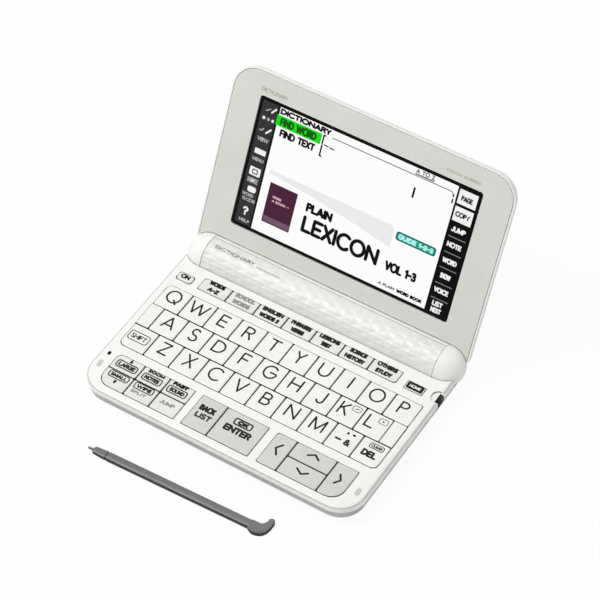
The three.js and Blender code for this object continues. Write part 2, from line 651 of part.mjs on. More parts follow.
function stylusChannel() {
  const outer = block(CHANNEL_END - CHANNEL_WALL, HALF_BASE - SIDE_WALL - GAP, CHANNEL_FRONT - CHANNEL_WALL,
    CHANNEL_REAR + CHANNEL_WALL, FLOOR_Z - GAP, CHANNEL_TOP);
  const inner = block(CHANNEL_END, HALF_BASE, CHANNEL_FRONT, CHANNEL_REAR, CHANNEL_FLOOR,
    CHANNEL_TOP + OVERRUN);
  return outer.subtract(inner);
}

function baseBottomCase() {
  const skin = moulded(baseOutline, baseCorners, CORNER_STEPS, [
    { z: CASE_Z, side: CASE_UNDERCUT + CASE_EDGE, front: CASE_UNDERCUT + CASE_EDGE },
    { z: CASE_Z + CASE_EDGE, side: CASE_UNDERCUT, front: CASE_UNDERCUT },
    { z: SEAM_Z - GAP, side: SEAM_REVEAL, front: SEAM_REVEAL },
  ]);
  const walls = { side: SIDE_WALL + CASE_UNDERCUT / 2, front: FRONT_WALL + CASE_UNDERCUT, rear: -OVERRUN };
  const hollow = moulded(baseOutline, baseCorners, CORNER_STEPS, [
    { z: FLOOR_Z, ...walls },
    { z: SEAM_Z + OVERRUN, ...walls },
  ]);
  const tray = cut(skin, cut(hollow, cradles()), capRooms(),
    hingeRoom(BARREL_RADIUS - GAP, -BARREL_HALF_LENGTH, BARREL_HALF_LENGTH));
  const bore = channelBore(HALF_BASE - 2 * SIDE_WALL, HALF_BASE + OVERRUN);
  const whole = join(tray, lowerBarrel(), feet(), stylusChannel(), ...boardBosses());
  return piece('base_bottom_case', whole.subtract(bore), CASE_GREY);
}

// Upper shell of the barrel: a quilt of shallow four-sided lozenges in front, plain behind a groove
function hingeBarrel() {
  const stations = Array.from({ length: RELIEF_COLUMNS + 1 }, (_, i) => {
    const x = BARREL_HALF_LENGTH * (2 * i / RELIEF_COLUMNS - 1);
    const points = sectorPoints(BARREL_BORE, BARREL_RADIUS, BORDER_ANGLE, SHELL_FRONT_ANGLE, RELIEF_ROWS);
    points.slice(1, RELIEF_ROWS).forEach((point, j) => {
      if ((i + j) % 2 === 0) point.multiplyScalar(1 - RELIEF_DEPTH / BARREL_RADIUS);
    });
    return { points, z: x };
  });
  const quilt = solidOf(alongX(loft(stations, (i, j) => (i + j) % 2 === 0)));
  const ends = [-BARREL_HALF_LENGTH, BARREL_HALF_LENGTH];
  const plain = sector(BARREL_BORE, BARREL_RADIUS, SHELL_REAR_ANGLE, BORDER_ANGLE + BORDER_GROOVE_ANGLE,
    ...ends, PLAIN_ROWS);
  const groove = sector(BARREL_RADIUS - BORDER_GROOVE_DEPTH, BARREL_RADIUS + OVERRUN, BORDER_ANGLE,
    BORDER_ANGLE + BORDER_GROOVE_ANGLE, ...ends, 1);
  return piece('hinge_barrel', atAxis(cut(join(quilt, plain), groove)), BARREL_PEARL);
}

function batteryCover() {
  const halfLength = BLOCK_START - GAP;
  const arc = sector(BARREL_BORE, BARREL_RADIUS, COVER_FRONT_ANGLE, FULL_TURN + SHELL_REAR_ANGLE,
    -halfLength, halfLength, CORNER_STEPS);
  const above = block(-HALF_BASE, HALF_BASE, CELL_RADIUS / 2, BARREL_RADIUS + OVERRUN, PARTING_Z,
    BARREL_RADIUS);
  return piece('battery_cover', atAxis(arc.subtract(above)), CASE_GREY);
}

// Two cells end to end; the terminal of the first stands against the second.
function batteryCells() {
  const body = CELL_LENGTH - CELL_NUB_LENGTH;
  const profile = [
    [0, -CELL_LENGTH], [CELL_RADIUS, -CELL_LENGTH], [CELL_RADIUS, -CELL_NUB_LENGTH],
    [CELL_NUB_RADIUS, -CELL_NUB_LENGTH], [CELL_NUB_RADIUS, 0], [CELL_RADIUS, 0], [CELL_RADIUS, body],
    [CELL_NUB_RADIUS, body], [CELL_NUB_RADIUS, CELL_LENGTH], [0, CELL_LENGTH],
  ].map(([radius, x]) => new THREE.Vector2(radius, x));
  const geometry = new THREE.LatheGeometry(profile, ROUND_SIDES);
  geometry.rotateZ(-Math.PI / 2);
  return piece('battery_cells', atAxis(solidOf(geometry)), CELL_SLEEVE);
}

function circuitBoard() {
  const outline = rectangle(-HALF_BOARD, HALF_BOARD, BOARD_FRONT, BOARD_REAR);
  const corners = [BOARD_CORNER, BOARD_CORNER, KEY_CORNER, KEY_CORNER];
  const bottom = BOARD_TOP - BOARD_THICKNESS;
  const board = slab(outline, bottom, BOARD_TOP, corners, SHARP_STEPS);
  const middle = (BOARD_FRONT + BOARD_REAR) / 2;
  const chips = [-HALF_BOARD / 2, HALF_BOARD / 2].map((x) =>
    block(x - CHIP_SIZE / 2, x + CHIP_SIZE / 2, middle - CHIP_SIZE / 2, middle + CHIP_SIZE / 2,
      bottom - CHIP_THICKNESS, bottom + GAP));
  return piece('circuit_board', join(board, ...chips), BOARD_GREEN);
}

function base() {
  const group = new THREE.Group();
  group.add(baseTopCover(), baseBottomCase(), hingeBarrel());
  group.add(batteryCover(), batteryCells(), circuitBoard());
  [...loneCells(), ...functionCells(), ...letterCells(), ...lowerCells()]
    .forEach((cell) => group.add(keycap(cell)));
  return group;
}

// Lid, drawn about the hinge axis: X right, Y up the lid, Z out of its inner face
const lidOutline = rectangle(-HALF_LID, HALF_LID, LID_LOW_END, LID_TOP);
const lidCorners = [LID_EAR_CORNER, LID_EAR_CORNER, LID_CORNER, LID_CORNER];
const bezelBack = LID_FACE - BEZEL_THICKNESS;
const displayOutline = rectangle(-DISPLAY_WIDTH / 2, DISPLAY_WIDTH / 2, DISPLAY_LOW,
  DISPLAY_LOW + DISPLAY_HEIGHT);

const barrelRoom = roundBar(SWING_RADIUS, -CAP_START, CAP_START, HINGE_SIDES);

function lidBackCover() {
  const skin = moulded(lidOutline, lidCorners, CORNER_STEPS, [
    ...roundedEdge(LID_BACK, -LID_EDGE, { side: LID_EDGE, rear: LID_EDGE }).reverse(),
    { z: LID_FACE - LID_RIM_DROP },
  ]);
  const rim = LID_RIM - GAP;
  const seat = { side: rim, rear: rim, front: rim };
  const bezelSeat = moulded(lidOutline, lidCorners, CORNER_STEPS, [
    { z: bezelBack - GAP, ...seat },
    { z: LID_FACE + OVERRUN, ...seat },
  ]);
  const displayBox = grown(displayOutline, GAP);
  const displaySeat = block(displayBox.x0, displayBox.x1, displayBox.y0, displayBox.y1,
    LID_BACK + LID_BACK_WALL, LID_FACE);
  const pin = roundBar(PIN_RADIUS, CAP_START - PIN_LENGTH, CAP_START + PIN_RADIUS, PIN_SIDES);
  const cover = cut(skin, bezelSeat, displaySeat, barrelRoom);
  return piece('lid_back_cover', join(cover, bothEnds(join(domedCap(0), pin))), WHITE_PLASTIC);
}

function lidBezel() {
  const inset = { side: LID_RIM, rear: LID_RIM, front: LID_RIM };
  const edge = LID_RIM + BEZEL_EDGE;
  const sheet = moulded(lidOutline, lidCorners, CORNER_STEPS, [
    { z: bezelBack, ...inset },
    { z: LID_FACE - BEZEL_EDGE, ...inset },
    { z: LID_FACE, side: edge, rear: edge, front: LID_RIM },
  ]);
  const window = slab(grown(displayOutline, GAP), bezelBack - OVERRUN, LID_FACE + OVERRUN,
    evenCorners(DISPLAY_CORNER), SHARP_STEPS);
  return piece('lid_bezel', cut(sheet, window, barrelRoom, bothEnds(domedCap(GAP))), BEZEL_GREY);
}

function displayPanel() {
  const face = LID_FACE - DISPLAY_RECESS;
  const panel = moulded(displayOutline, evenCorners(DISPLAY_CORNER), SHARP_STEPS, [
    { z: LID_BACK + LID_BACK_WALL + GAP },
    { z: face - BEZEL_EDGE },
    { z: face, side: BEZEL_EDGE, front: BEZEL_EDGE, rear: BEZEL_EDGE },
  ]);
  return piece('display_panel', panel, GLASS_BLACK);
}

function lid() {
  const group = new THREE.Group();
  group.add(lidBackCover(), lidBezel(), displayPanel());
  group.position.set(0, AXIS_Y, AXIS_Z);
  group.rotation.x = Math.PI - LID_OPEN_ANGLE;
  return group;
}

// Stylus, drawn from the start of its head: X towards the head, Y across, Z up from the table
function stylusRod() {
  const ring = (x, width, height) => {
    const middle = STYLUS_THICKNESS / 2;
    const section = rectangle(-width / 2, width / 2, middle - height / 2, middle + height / 2);
    return { points: roundedPoints(section, evenCorners(height * STYLUS_ROUND_SHARE), SHARP_STEPS), z: x };
  };
  const tip = HEAD_LENGTH - STYLUS_LENGTH;
  const nibEnd = tip + NIB_LENGTH;
  const groove = tip + STYLUS_TIP_LENGTH;
  const neck = [STYLUS_WIDTH - GROOVE_DEPTH * 2, STYLUS_THICKNESS - GROOVE_DEPTH * 2];
  return solidOf(alongX(loft([
    ring(tip, NIB_WIDTH / 2, NIB_WIDTH / 2),
    ring(tip + NIB_WIDTH / 2, NIB_WIDTH, NIB_WIDTH),
    ring(nibEnd, NIB_WIDTH, NIB_WIDTH),
    ring(nibEnd + NIB_WIDTH, neck[0], neck[1]),
    ring(groove, STYLUS_WIDTH, STYLUS_THICKNESS),
    ring(groove + GROOVE_DEPTH / 2, ...neck),
    ring(groove + GROOVE_WIDTH, ...neck),
    ring(groove + GROOVE_WIDTH + GROOVE_DEPTH / 2, STYLUS_WIDTH, STYLUS_THICKNESS),
    ring(HEAD_LENGTH / 2, STYLUS_WIDTH, STYLUS_THICKNESS),
  ])));
}

// Hooked head that a fingertip pulls: the rod swells and turns back towards the base.
function stylusHead() {
  const half = STYLUS_WIDTH / 2;
  const inside = HEAD_LENGTH - HEAD_LIP;
  const shape = new THREE.Shape();
  shape.moveTo(0, -half);
  shape.lineTo(HEAD_SWELL * 2, -half - HEAD_SWELL);
  shape.bezierCurveTo(inside, -half - HEAD_SWELL, HEAD_LENGTH, -half, HEAD_LENGTH, half * 2);
  shape.lineTo(HEAD_LENGTH, HEAD_REACH - HEAD_LIP / 2);
  shape.absarc(HEAD_LENGTH - HEAD_LIP / 2, HEAD_REACH - HEAD_LIP / 2, HEAD_LIP / 2, 0, Math.PI);
  shape.lineTo(inside, half * 2);
  shape.quadraticCurveTo(inside - HEAD_LEAN, half, inside - half, half);
  shape.lineTo(0, half);
  const geometry = new THREE.ExtrudeGeometry(shape, {
    depth: STYLUS_THICKNESS - 2 * HEAD_BEVEL,
    curveSegments: DOME_STEPS,
    bevelEnabled: true,
    bevelThickness: HEAD_BEVEL,
    bevelSize: HEAD_BEVEL,
    bevelOffset: -HEAD_BEVEL,
    bevelSegments: 1,
  });
  geometry.translate(0, 0, HEAD_BEVEL);
  return solidOf(geometry);
}

function stylus() {
  const node = piece('stylus', join(stylusRod(), stylusHead()), STYLUS_GREY);
  node.position.set(STYLUS_RIGHT_END - HEAD_LENGTH, -STYLUS_TABLE_GAP - STYLUS_WIDTH / 2, 0);
  node.rotation.z = STYLUS_TURN;
  return node;
}

// Whole object, with its origin in the middle of the floor that it covers
const dictionary = new THREE.Group();
dictionary.add(base(), lid(), stylus());
dictionary.updateMatrixWorld(true);
const extent = new THREE.Box3().setFromObject(dictionary, true);
const middle = extent.getCenter(new THREE.Vector3());
dictionary.position.set(-middle.x, -middle.y, -extent.min.z);
dictionary.updateMatrixWorld(true);

export default dictionary;
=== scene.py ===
"""Dresses the electronic dictionary: finishes, softened edges, legends, screen picture, fittings.

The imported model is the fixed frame, in metres. Lengths in the classes below are in millimetres.
"""

from __future__ import annotations

import json
import logging
import math
import re
from collections.abc import Callable, Iterable, Sequence
from dataclasses import dataclass, field
from enum import Enum
from typing import ClassVar

import bmesh
import bpy
from mathutils import Matrix, Vector

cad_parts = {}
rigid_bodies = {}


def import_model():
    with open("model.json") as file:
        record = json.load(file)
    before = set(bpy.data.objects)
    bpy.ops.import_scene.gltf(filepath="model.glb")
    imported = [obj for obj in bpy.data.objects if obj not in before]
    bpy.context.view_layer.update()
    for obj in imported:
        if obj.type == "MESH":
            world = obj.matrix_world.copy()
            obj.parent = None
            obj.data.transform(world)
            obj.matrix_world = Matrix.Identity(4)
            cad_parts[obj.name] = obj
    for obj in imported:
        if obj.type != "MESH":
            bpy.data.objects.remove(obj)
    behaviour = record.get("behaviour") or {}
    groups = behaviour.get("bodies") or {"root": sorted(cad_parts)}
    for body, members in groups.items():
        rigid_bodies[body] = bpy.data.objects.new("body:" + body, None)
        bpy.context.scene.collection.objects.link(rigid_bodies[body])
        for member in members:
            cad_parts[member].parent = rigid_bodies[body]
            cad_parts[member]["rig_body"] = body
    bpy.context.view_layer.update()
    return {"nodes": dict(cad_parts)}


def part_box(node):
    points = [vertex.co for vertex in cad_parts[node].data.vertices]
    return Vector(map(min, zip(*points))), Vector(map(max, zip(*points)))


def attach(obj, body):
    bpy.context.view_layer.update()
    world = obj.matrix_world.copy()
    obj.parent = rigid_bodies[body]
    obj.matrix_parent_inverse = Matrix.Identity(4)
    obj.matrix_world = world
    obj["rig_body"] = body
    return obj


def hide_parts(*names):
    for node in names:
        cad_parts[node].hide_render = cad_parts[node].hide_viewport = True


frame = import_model()

LOG = logging.getLogger("dictionary")
MM = 0.001
# Points nearer than this are one, in millimetres for marks and in metres for solids.
SAME = 1e-6
RIGHT = Vector((1, 0, 0))
REARWARD = Vector((0, 1, 0))
# The hinge's axis: how far behind the frame's middle it lies, and how high.
HINGE_AXIS = (36.648, 10.2)
Point = tuple[float, float]


def linear(hex_colour: str) -> tuple[float, float, float, float]:
    """Turns an sRGB hex colour into the linear colour that a socket takes.

    Args:
        hex_colour: six hex digits after a hash sign.

    Returns:
        Red, green, blue and an alpha of one.
    """
    parts = [int(hex_colour[i : i + 2], 16) / 255 for i in (1, 3, 5)]
    red, green, blue = (p / 12.92 if p <= 0.04045 else ((p + 0.055) / 1.055) ** 2.4 for p in parts)
    return red, green, blue, 1.0


def per_mm(size: float) -> float:
    """Gives the texture scale at which one feature is that many millimetres across."""
    return 1 / (size * MM)


def add_node(
    tree: bpy.types.NodeTree,
    kind: str,
    inputs: dict[str | int, object] | None = None,
    stops: Sequence[tuple[float, str]] = (),
    **settings: object,
) -> bpy.types.Node:
    """Adds a node with its settings, its input values and its links.

    Args:
        tree: the node tree that gets the node.
        kind: Blender's name for the kind of node.
        inputs: a value or another node's output socket for each named input.
        stops: places and hex colours of a colour ramp.
        settings: the node's own properties.

    Returns:
        The new node.
    """
    node = tree.nodes.new(kind)
    for name, value in settings.items():
        setattr(node, name, value)
    for name, value in (inputs or {}).items():
        if isinstance(value, bpy.types.NodeSocket):
            tree.links.new(value, node.inputs[name])
        else:
            node.inputs[name].default_value = value
    for index, (place, colour) in enumerate(stops):
        elements = node.color_ramp.elements
        element = elements[index] if index < len(elements) else elements.new(place)
        element.position = place
        element.color = linear(colour)
    return node


@dataclass(frozen=True)
class Finish:
    """Moulded plastic, and the base of the other finishes: soft patches of tone and a fine grain.

    Attributes:
        name: the material's name.
        colour: the main colour.
        shade: the colour that it drifts to.
        roughness: the mean roughness.
        slot: the record's material slot, where it has one. It is not used.
        spread: how far the roughness drifts either way.
        mottle: the soft patches' size in millimetres.
        grain: the grit's size in millimetres.
        depth: the grit's height in millimetres.
        stretch: the patterns' scale along each axis, where less than one draws them out.
        metallic: how far it is a metal.
        ior: the index of refraction. A metal keeps the shader's own.
        specular: the highlight's strength.
        coat: the weight of a clear coat.
        coat_roughness: the coat's roughness.
    """

    name: str
    colour: str
    shade: str
    roughness: float
    slot: str = ""
    spread: float = 0.06
    mottle: float = 14.0
    grain: float = 0.5
    depth: float = 0.006
    stretch: tuple[float, float, float] = (1.0, 1.0, 1.0)
    metallic: float = 0.0
    ior: float = 1.5
    specular: float = 0.5
    coat: float = 0.0
    coat_roughness: float = 0.1

    # Noise lies mostly between these values, over which the colour and the roughness drift. The
    # roughness drifts in spots a third as large as the colour's patches.
    DRIFT: ClassVar[Point] = (0.32, 0.72)
    WEAR_SPAN: ClassVar[Point] = (0.3, 0.7)
    WEAR_PER_PATCH: ClassVar[float] = 3
    PATCH_DETAIL: ClassVar[float] = 2.0
    GRIT_DETAIL: ClassVar[float] = 3.0
    SMOOTHEST: ClassVar[float] = 0.02

    def tint(
        self, tree: bpy.types.NodeTree, place: bpy.types.NodeSocket
    ) -> bpy.types.NodeSocket:
        """Gives the colour, which drifts from the base colour to the shade in soft patches.

        Args:
            tree: the material's node tree.
            place: the socket that gives the place on the piece.

        Returns:
            The colour's socket.
        """
        patches = {"Vector": place, "Scale": per_mm(self.mottle), "Detail": self.PATCH_DETAIL}
        drift = add_node(tree, "ShaderNodeTexNoise", patches).outputs["Fac"]
        stops = tuple(zip(self.DRIFT, (self.colour, self.shade), strict=True))
        return add_node(tree, "ShaderNodeValToRGB", {"Fac": drift}, stops).outputs["Color"]

    def height(
        self, tree: bpy.types.NodeTree, place: bpy.types.NodeSocket
    ) -> bpy.types.NodeSocket:
        """Gives the height of the grain, from 0 to 1."""
        grit = {"Vector": place, "Scale": per_mm(self.grain), "Detail": self.GRIT_DETAIL}
        return add_node(tree, "ShaderNodeTexNoise", grit).outputs["Fac"]

    def shader_extras(self, colour: bpy.types.NodeSocket) -> dict[str | int, object]:
        """Gives the shader's inputs that only some finishes have."""
        return {"Base Color": colour}

    def material(self) -> bpy.types.Material:
        """Builds the material once and gives it.

        Returns:
            The material named for this finish.
        """
        found = bpy.data.materials.get(self.name)
        if found:
            return found
        made = bpy.data.materials.new(self.name)
        made.use_nodes = True
        tree = made.node_tree
        tree.nodes.clear()
        source = add_node(tree, "ShaderNodeTexCoord").outputs["Object"]
        along = {"Vector": source, "Scale": self.stretch}
        place = add_node(tree, "ShaderNodeMapping", along).outputs["Vector"]
        wear = {
            "Vector": place,
            "Scale": per_mm(self.mottle / self.WEAR_PER_PATCH),
            "Detail": self.GRIT_DETAIL,
        }
        drift = {
            "Value": add_node(tree, "ShaderNodeTexNoise", wear).outputs["Fac"],
            "From Min": self.WEAR_SPAN[0],
            "From Max": self.WEAR_SPAN[1],
            "To Min": max(self.SMOOTHEST, self.roughness - self.spread),
            "To Max": min(1.0, self.roughness + self.spread),
        }
        bump = {"Height": self.height(tree, place), "Distance": self.depth * MM, "Strength": 1.0}
        inputs = {
            "Roughness": add_node(tree, "ShaderNodeMapRange", drift).outputs["Result"],
            "Normal": add_node(tree, "ShaderNodeBump", bump).outputs["Normal"],
            "Metallic": self.metallic,
            "Specular IOR Level": self.specular,
            "Coat Weight": self.coat,
            "Coat Roughness": self.coat_roughness,
            **self.shader_extras(self.tint(tree, place)),
        }
        if not self.metallic:
            inputs["IOR"] = self.ior
        shader = add_node(tree, "ShaderNodeBsdfPrincipled", inputs)
        add_node(tree, "ShaderNodeOutputMaterial", {"Surface": shader.outputs["BSDF"]})
        return made


@dataclass(frozen=True)
class PearlPlastic(Finish):
    """Plastic with mica flakes under a clear coat, which lie along the mould's facets.

    Each flake tips the tone a little, and facets that face right get a darker painted shade.

    Attributes:
        flake: the flakes' size in millimetres.
        flake_stops: where a flake's own number turns it from the shade to the main colour.
        facet_turn: how far sideways a facet faces when its tone is at its end.
        facet_painted_shade: the painted shade on facets that face right.
    """

    flake: float = 0.7
    flake_stops: Point = (0.25, 0.7)
    facet_turn: float = 0.16
    facet_painted_shade: str = "#e2e2dd"

    def tint(
        self, tree: bpy.types.NodeTree, place: bpy.types.NodeSocket
    ) -> bpy.types.NodeSocket:
        """Gives a tone to each flake, blended toward a painted shade on facets that face right.

        Args:
            tree: the material's node tree.
            place: the socket that gives the place on the piece.

        Returns:
            The colour's socket.
        """
        cells = {"Vector": place, "Scale": per_mm(self.flake)}
        flakes = add_node(tree, "ShaderNodeTexVoronoi", cells).outputs["Color"]
        stops = tuple(zip(self.flake_stops, (self.shade, self.colour), strict=True))
        speckled = add_node(tree, "ShaderNodeValToRGB", {"Fac": flakes}, stops).outputs["Color"]
        facing = add_node(tree, "ShaderNodeTexCoord").outputs["Normal"]
        sideways = add_node(tree, "ShaderNodeSeparateXYZ", {"Vector": facing}).outputs["X"]
        turned = {
            "Value": sideways,
            "From Min": -self.facet_turn,
            "From Max": self.facet_turn,
            "To Min": 0.0,
            "To Max": 1.0,
        }
        amount = add_node(tree, "ShaderNodeMapRange", turned).outputs["Result"]
        blend = {"Fac": amount, "Color1": speckled, "Color2": linear(self.facet_painted_shade)}
        return add_node(tree, "ShaderNodeMixRGB", blend).outputs["Color"]


@dataclass(frozen=True)
class LitPicture(Finish):
    """Part of the lit display: it shines with its own colour, row by row of picture dots.

    Attributes:
        glow: the light's strength.
        rows: the wave texture's unit in millimetres. A row of dots takes tau / 20 of it, 0.38 mm.
        unlit: the panel's own colour under the light.
    """

    glow: float = 1.0
    rows: float = 1.2
    unlit: str = "#050505"

    # Where a row's dark edge ends.
    ROW_EDGE: ClassVar[float] = 0.35

    def tint(
        self, tree: bpy.types.NodeTree, place: bpy.types.NodeSocket
    ) -> bpy.types.NodeSocket:
        """Gives the lit colour, which the rows of dots cross as faint lines.

        Args:
            tree: the material's node tree.
            place: the socket that gives the place on the piece.

        Returns:
            The colour's socket.
        """
        rows = {"Vector": place, "Scale": per_mm(self.rows), "Distortion": 0.0}
        lines = add_node(
            tree, "ShaderNodeTexWave", rows, wave_type="BANDS", bands_direction="X"
        ).outputs["Fac"]
        stops = ((0.0, self.shade), (self.ROW_EDGE, self.colour))
        return add_node(tree, "ShaderNodeValToRGB", {"Fac": lines}, stops).outputs["Color"]

    def shader_extras(self, colour: bpy.types.NodeSocket) -> dict[str | int, object]:
        """Gives the colour to the light that the surface sends out."""
        dark = {"Base Color": linear(self.unlit)}
        return {**dark, "Emission Color": colour, "Emission Strength": self.glow}


@dataclass(frozen=True)
class SolderMask(Finish):
    """Lacquered circuit board: tracks show through the lacquer as lighter lines.

    Attributes:
        track_gap: the distance between tracks in millimetres.
        track_edge: where a track's side starts and ends, as shares of that distance.
    """

    track_gap: float = 4.8
    track_edge: Point = (0.05, 0.08)

    def tint(
        self, tree: bpy.types.NodeTree, place: bpy.types.NodeSocket
    ) -> bpy.types.NodeSocket:
        """Gives the lacquer's colour and, along cell borders, the tracks' colour.

        Args:
            tree: the material's node tree.
            place: the socket that gives the place on the piece.

        Returns:
            The colour's socket.
        """
        cells = {"Vector": place, "Scale": per_mm(self.track_gap)}
        borders = add_node(
            tree, "ShaderNodeTexVoronoi", cells, feature="DISTANCE_TO_EDGE", distance="EUCLIDEAN"
        ).outputs["Distance"]
        stops = tuple(zip(self.track_edge, (self.shade, self.colour), strict=True))
        return add_node(tree, "ShaderNodeValToRGB", {"Fac": borders}, stops).outputs["Color"]


# Shells: ABS, moulded against a spark-eroded mould. The eye gets a dry, even white with a soft
# highlight. The real grit of 0.05 mm is too fine to show, so the grain is drawn at 0.5 mm.
SHELL = Finish("abs_moulded_white", "#f6f6f3", "#f2f2ee", 0.42, slot="white_shell")
# Rim of the deck: the same ABS, with a greyer strip of painted shade on the rounding where the
# deck turns down. It draws a fine line along the rim.
RIM_SHADE = Finish("abs_rim_painted_shade", "#cacac6", "#c2c2be", 0.5, mottle=6)
# Keycaps: POM, moulded, a touch smoother than the deck, so their edges catch a thin light. The
# caps around the letters are a shade greyer, and those of list, enter and cursor greyer still.
KEYCAP = Finish("pom_keycap_white", "#f4f4f1", "#f0f0ec", 0.36, slot="key_white", mottle=9)
KEYCAP_PALE = Finish("pom_keycap_pale", "#e9e9e6", "#e4e4e1", 0.36, slot="key_white", mottle=9)
KEYCAP_GREY = Finish("pom_keycap_grey", "#d7d7d2", "#d1d1cc", 0.38, slot="key_grey", mottle=9)
# Flanks of the keys and of their holes: painted shade. They are the same mouldings, seen only
# through narrow gaps where too little light comes back out. This dark grey paints that shade in, so
# the gaps read as crisp lines.
GAP_SHADE = Finish("abs_gap_painted_shade", "#454544", "#3c3c3b", 0.6, mottle=4, specular=0.1)
# Lower case: ABS in a cool grey, coarser grit, which keeps the underside quiet.
CASE = Finish("abs_moulded_grey", "#bdbdba", "#b5b5b2", 0.5, slot="case_grey", grain=0.7)
# Bezel: ABS with a fine matt grit in warm light grey. It frames the display without glare.
BEZEL = Finish("abs_bezel_grey", "#dcdcd7", "#d8d8d2", 0.48, slot="bezel_grey", mottle=18)
# Barrel: clear-coated ABS with mica. The coat carries a long highlight and the flakes a faint
# shimmer. Real flakes of 0.05 mm are drawn at 0.7 mm so that they show.
# Facets that face right get a painted shade, which brings out the quilt.
BARREL = PearlPlastic(
    "abs_pearl_coated", "#f2f2ee", "#eaeae5", 0.42, slot="barrel_pearl", coat=0.2
)
# Groove along the barrel: the same moulding, painted dark grey as painted shade in the crease.
GROOVE_SHADE = Finish("abs_groove_painted_shade", "#92928e", "#868682", 0.6, mottle=4, specular=0.2)
# Display cover: glass with a hard, slightly greasy touch film: black, with a blurred reflection.
GLASS = Finish(
    "glass_touch_film_black", "#060606", "#0a0a0a", 0.24,
    slot="display_glass", mottle=22, depth=0.001, specular=0.06,
)
# Stylus: ABS, moulded lengthways, so its faint flow lines run along the rod.
STYLUS = Finish(
    "abs_stylus_grey", "#737376", "#68686c", 0.4,
    slot="stylus_grey", mottle=6, stretch=(0.15, 1.0, 1.0),
)
# Flanks and underside of the stylus: the same plastic, darkened with painted shade.
STYLUS_SHADE = Finish("abs_stylus_painted_shade", "#48484b", "#3d3d40", 0.7, mottle=3, specular=0.1)
# Legends: pad-printed epoxy ink, a film with tiny pits that dull it. The black takes the least
# light, the grey and the pale one are thinner films, and the white stands out of a black field.
INK = Finish(
    "ink_printed_black", "#121212", "#1a1a1a", 0.6,
    mottle=1.5, grain=0.2, depth=0.003, specular=0.25,
)
INK_GREY, INK_PALE, INK_WHITE = (
    Finish(f"ink_printed_{name}", colour, shade, roughness, mottle=1.5, grain=0.2, depth=0.003)
    for name, colour, shade, roughness in (
        ("grey", "#8b8b88", "#949491", 0.55),
        ("pale", "#a9a49b", "#b0aba2", 0.55),
        ("white", "#f4f4f1", "#ecece8", 0.5),
    )
)
# Pads: silicone rubber, moulded. With no shine they look soft, and the feet are dark with carbon.
RUBBER = Finish("silicone_pad_grey", "#d4d4d0", "#c9c9c5", 0.8, mottle=3, grain=0.4, depth=0.012)
FOOT_RUBBER = Finish("silicone_foot_dark", "#4b4b4a", "#3f3f3e", 0.85, mottle=3, depth=0.012)
# Stylus channel: the case's own moulding, with a dusky grey of painted shade, since only some
# light falls in. It is not black.
CHANNEL_SHADE = Finish("abs_channel_painted_shade", "#6e6e6b", "#62625f", 0.8, mottle=4, specular=0.1)
# Lamp window and screw crosses: dull, near-black painted shade, the dark of the lamp's opening
# and of the crosses' recesses.
OPENING_SHADE = Finish("painted_opening_shade", "#1c1c1c", "#101010", 0.9, mottle=2, specular=0.1)
# Screws: nickel-plated steel, brushed by the driver's turning, so faint streaks cross each head.
STEEL = Finish(
    "steel_nickel_plated", "#b9b9b6", "#a8a8a4", 0.3,
    metallic=1.0, mottle=2, stretch=(1.0, 0.2, 1.0),
)
# Board: glass epoxy under green lacquer, seen only with the case open: a dull gloss over tracks.
BOARD = SolderMask("epoxy_board_green", "#1f6b3a", "#2f8550", 0.35, slot="board_green")
# Cells: a shrunk sleeve over steel, rolled round the cell, with rings of tone along it.
SLEEVE = Finish(
    "pvc_sleeve_silver", "#c9c9cc", "#8f9094", 0.3,
    slot="cell_sleeve", metallic=0.8, mottle=8, stretch=(1.0, 0.1, 0.1),
)


def lit(name: str, colour: str, shade: str) -> LitPicture:
    """Gives one colour of the lit picture: a liquid crystal display with rows of dots.

    The real rows, 0.14 mm apart, are drawn at 0.38 mm, which gives the eye a faint weave.

    Args:
        name: the finish's name.
        colour: the lit colour.
        shade: the colour between the rows.

    Returns:
        The finish.
    """
    return LitPicture(name, colour, shade, 0.24, grain=0.6, specular=0.06)


class Tone(Enum):
    """What a mark is printed or lit with, and how far it stands above its face."""

    INK = (INK, 0.02)
    GREY = (INK_GREY, 0.02)
    PALE = (INK_PALE, 0.02)
    WHITE = (INK_WHITE, 0.045)
    PAGE = (lit("lcd_page_white", "#fdfdfd", "#f8f8f8"), 0.012)
    BAR = (lit("lcd_bar_grey", "#343434", "#2c2c2c"), 0.012)
    BAND = (lit("lcd_band_grey", "#eaebeb", "#e5e6e6"), 0.028)
    LINE = (lit("lcd_line_grey", "#7d7d7d", "#767676"), 0.03)
    GREEN = (lit("lcd_green", "#12e012", "#10cf10"), 0.036)
    PLUM = (lit("lcd_plum", "#4b2139", "#451e34"), 0.036)
    TEAL = (lit("lcd_teal", "#0e6e60", "#0c6557"), 0.036)
    MAUVE = (lit("lcd_mauve", "#74566a", "#6d5063"), 0.05)
    BLACK = (lit("lcd_black", "#050505", "#080808"), 0.05)
    LEAF = (lit("lcd_dark_green", "#0a5a0a", "#0a500a"), 0.05)
    SEA = (lit("lcd_sea_green", "#23a08e", "#209685"), 0.05)
    CYAN = (lit("lcd_pale_cyan", "#b4f7ee", "#abefe6"), 0.064)
    SOFT = (lit("lcd_mark_grey", "#a8a8a8", "#a0a0a0"), 0.062)
    ROSE = (lit("lcd_mark_rose", "#d9a9bf", "#cf9fb5"), 0.062)
    AMBER = (lit("lcd_mark_amber", "#e08a4a", "#d68040"), 0.062)
    BRIGHT = (lit("lcd_mark_white", "#f2f2f2", "#eaeaea"), 0.064)
    OVER = (lit("lcd_over_black", "#101010", "#141414"), 0.078)


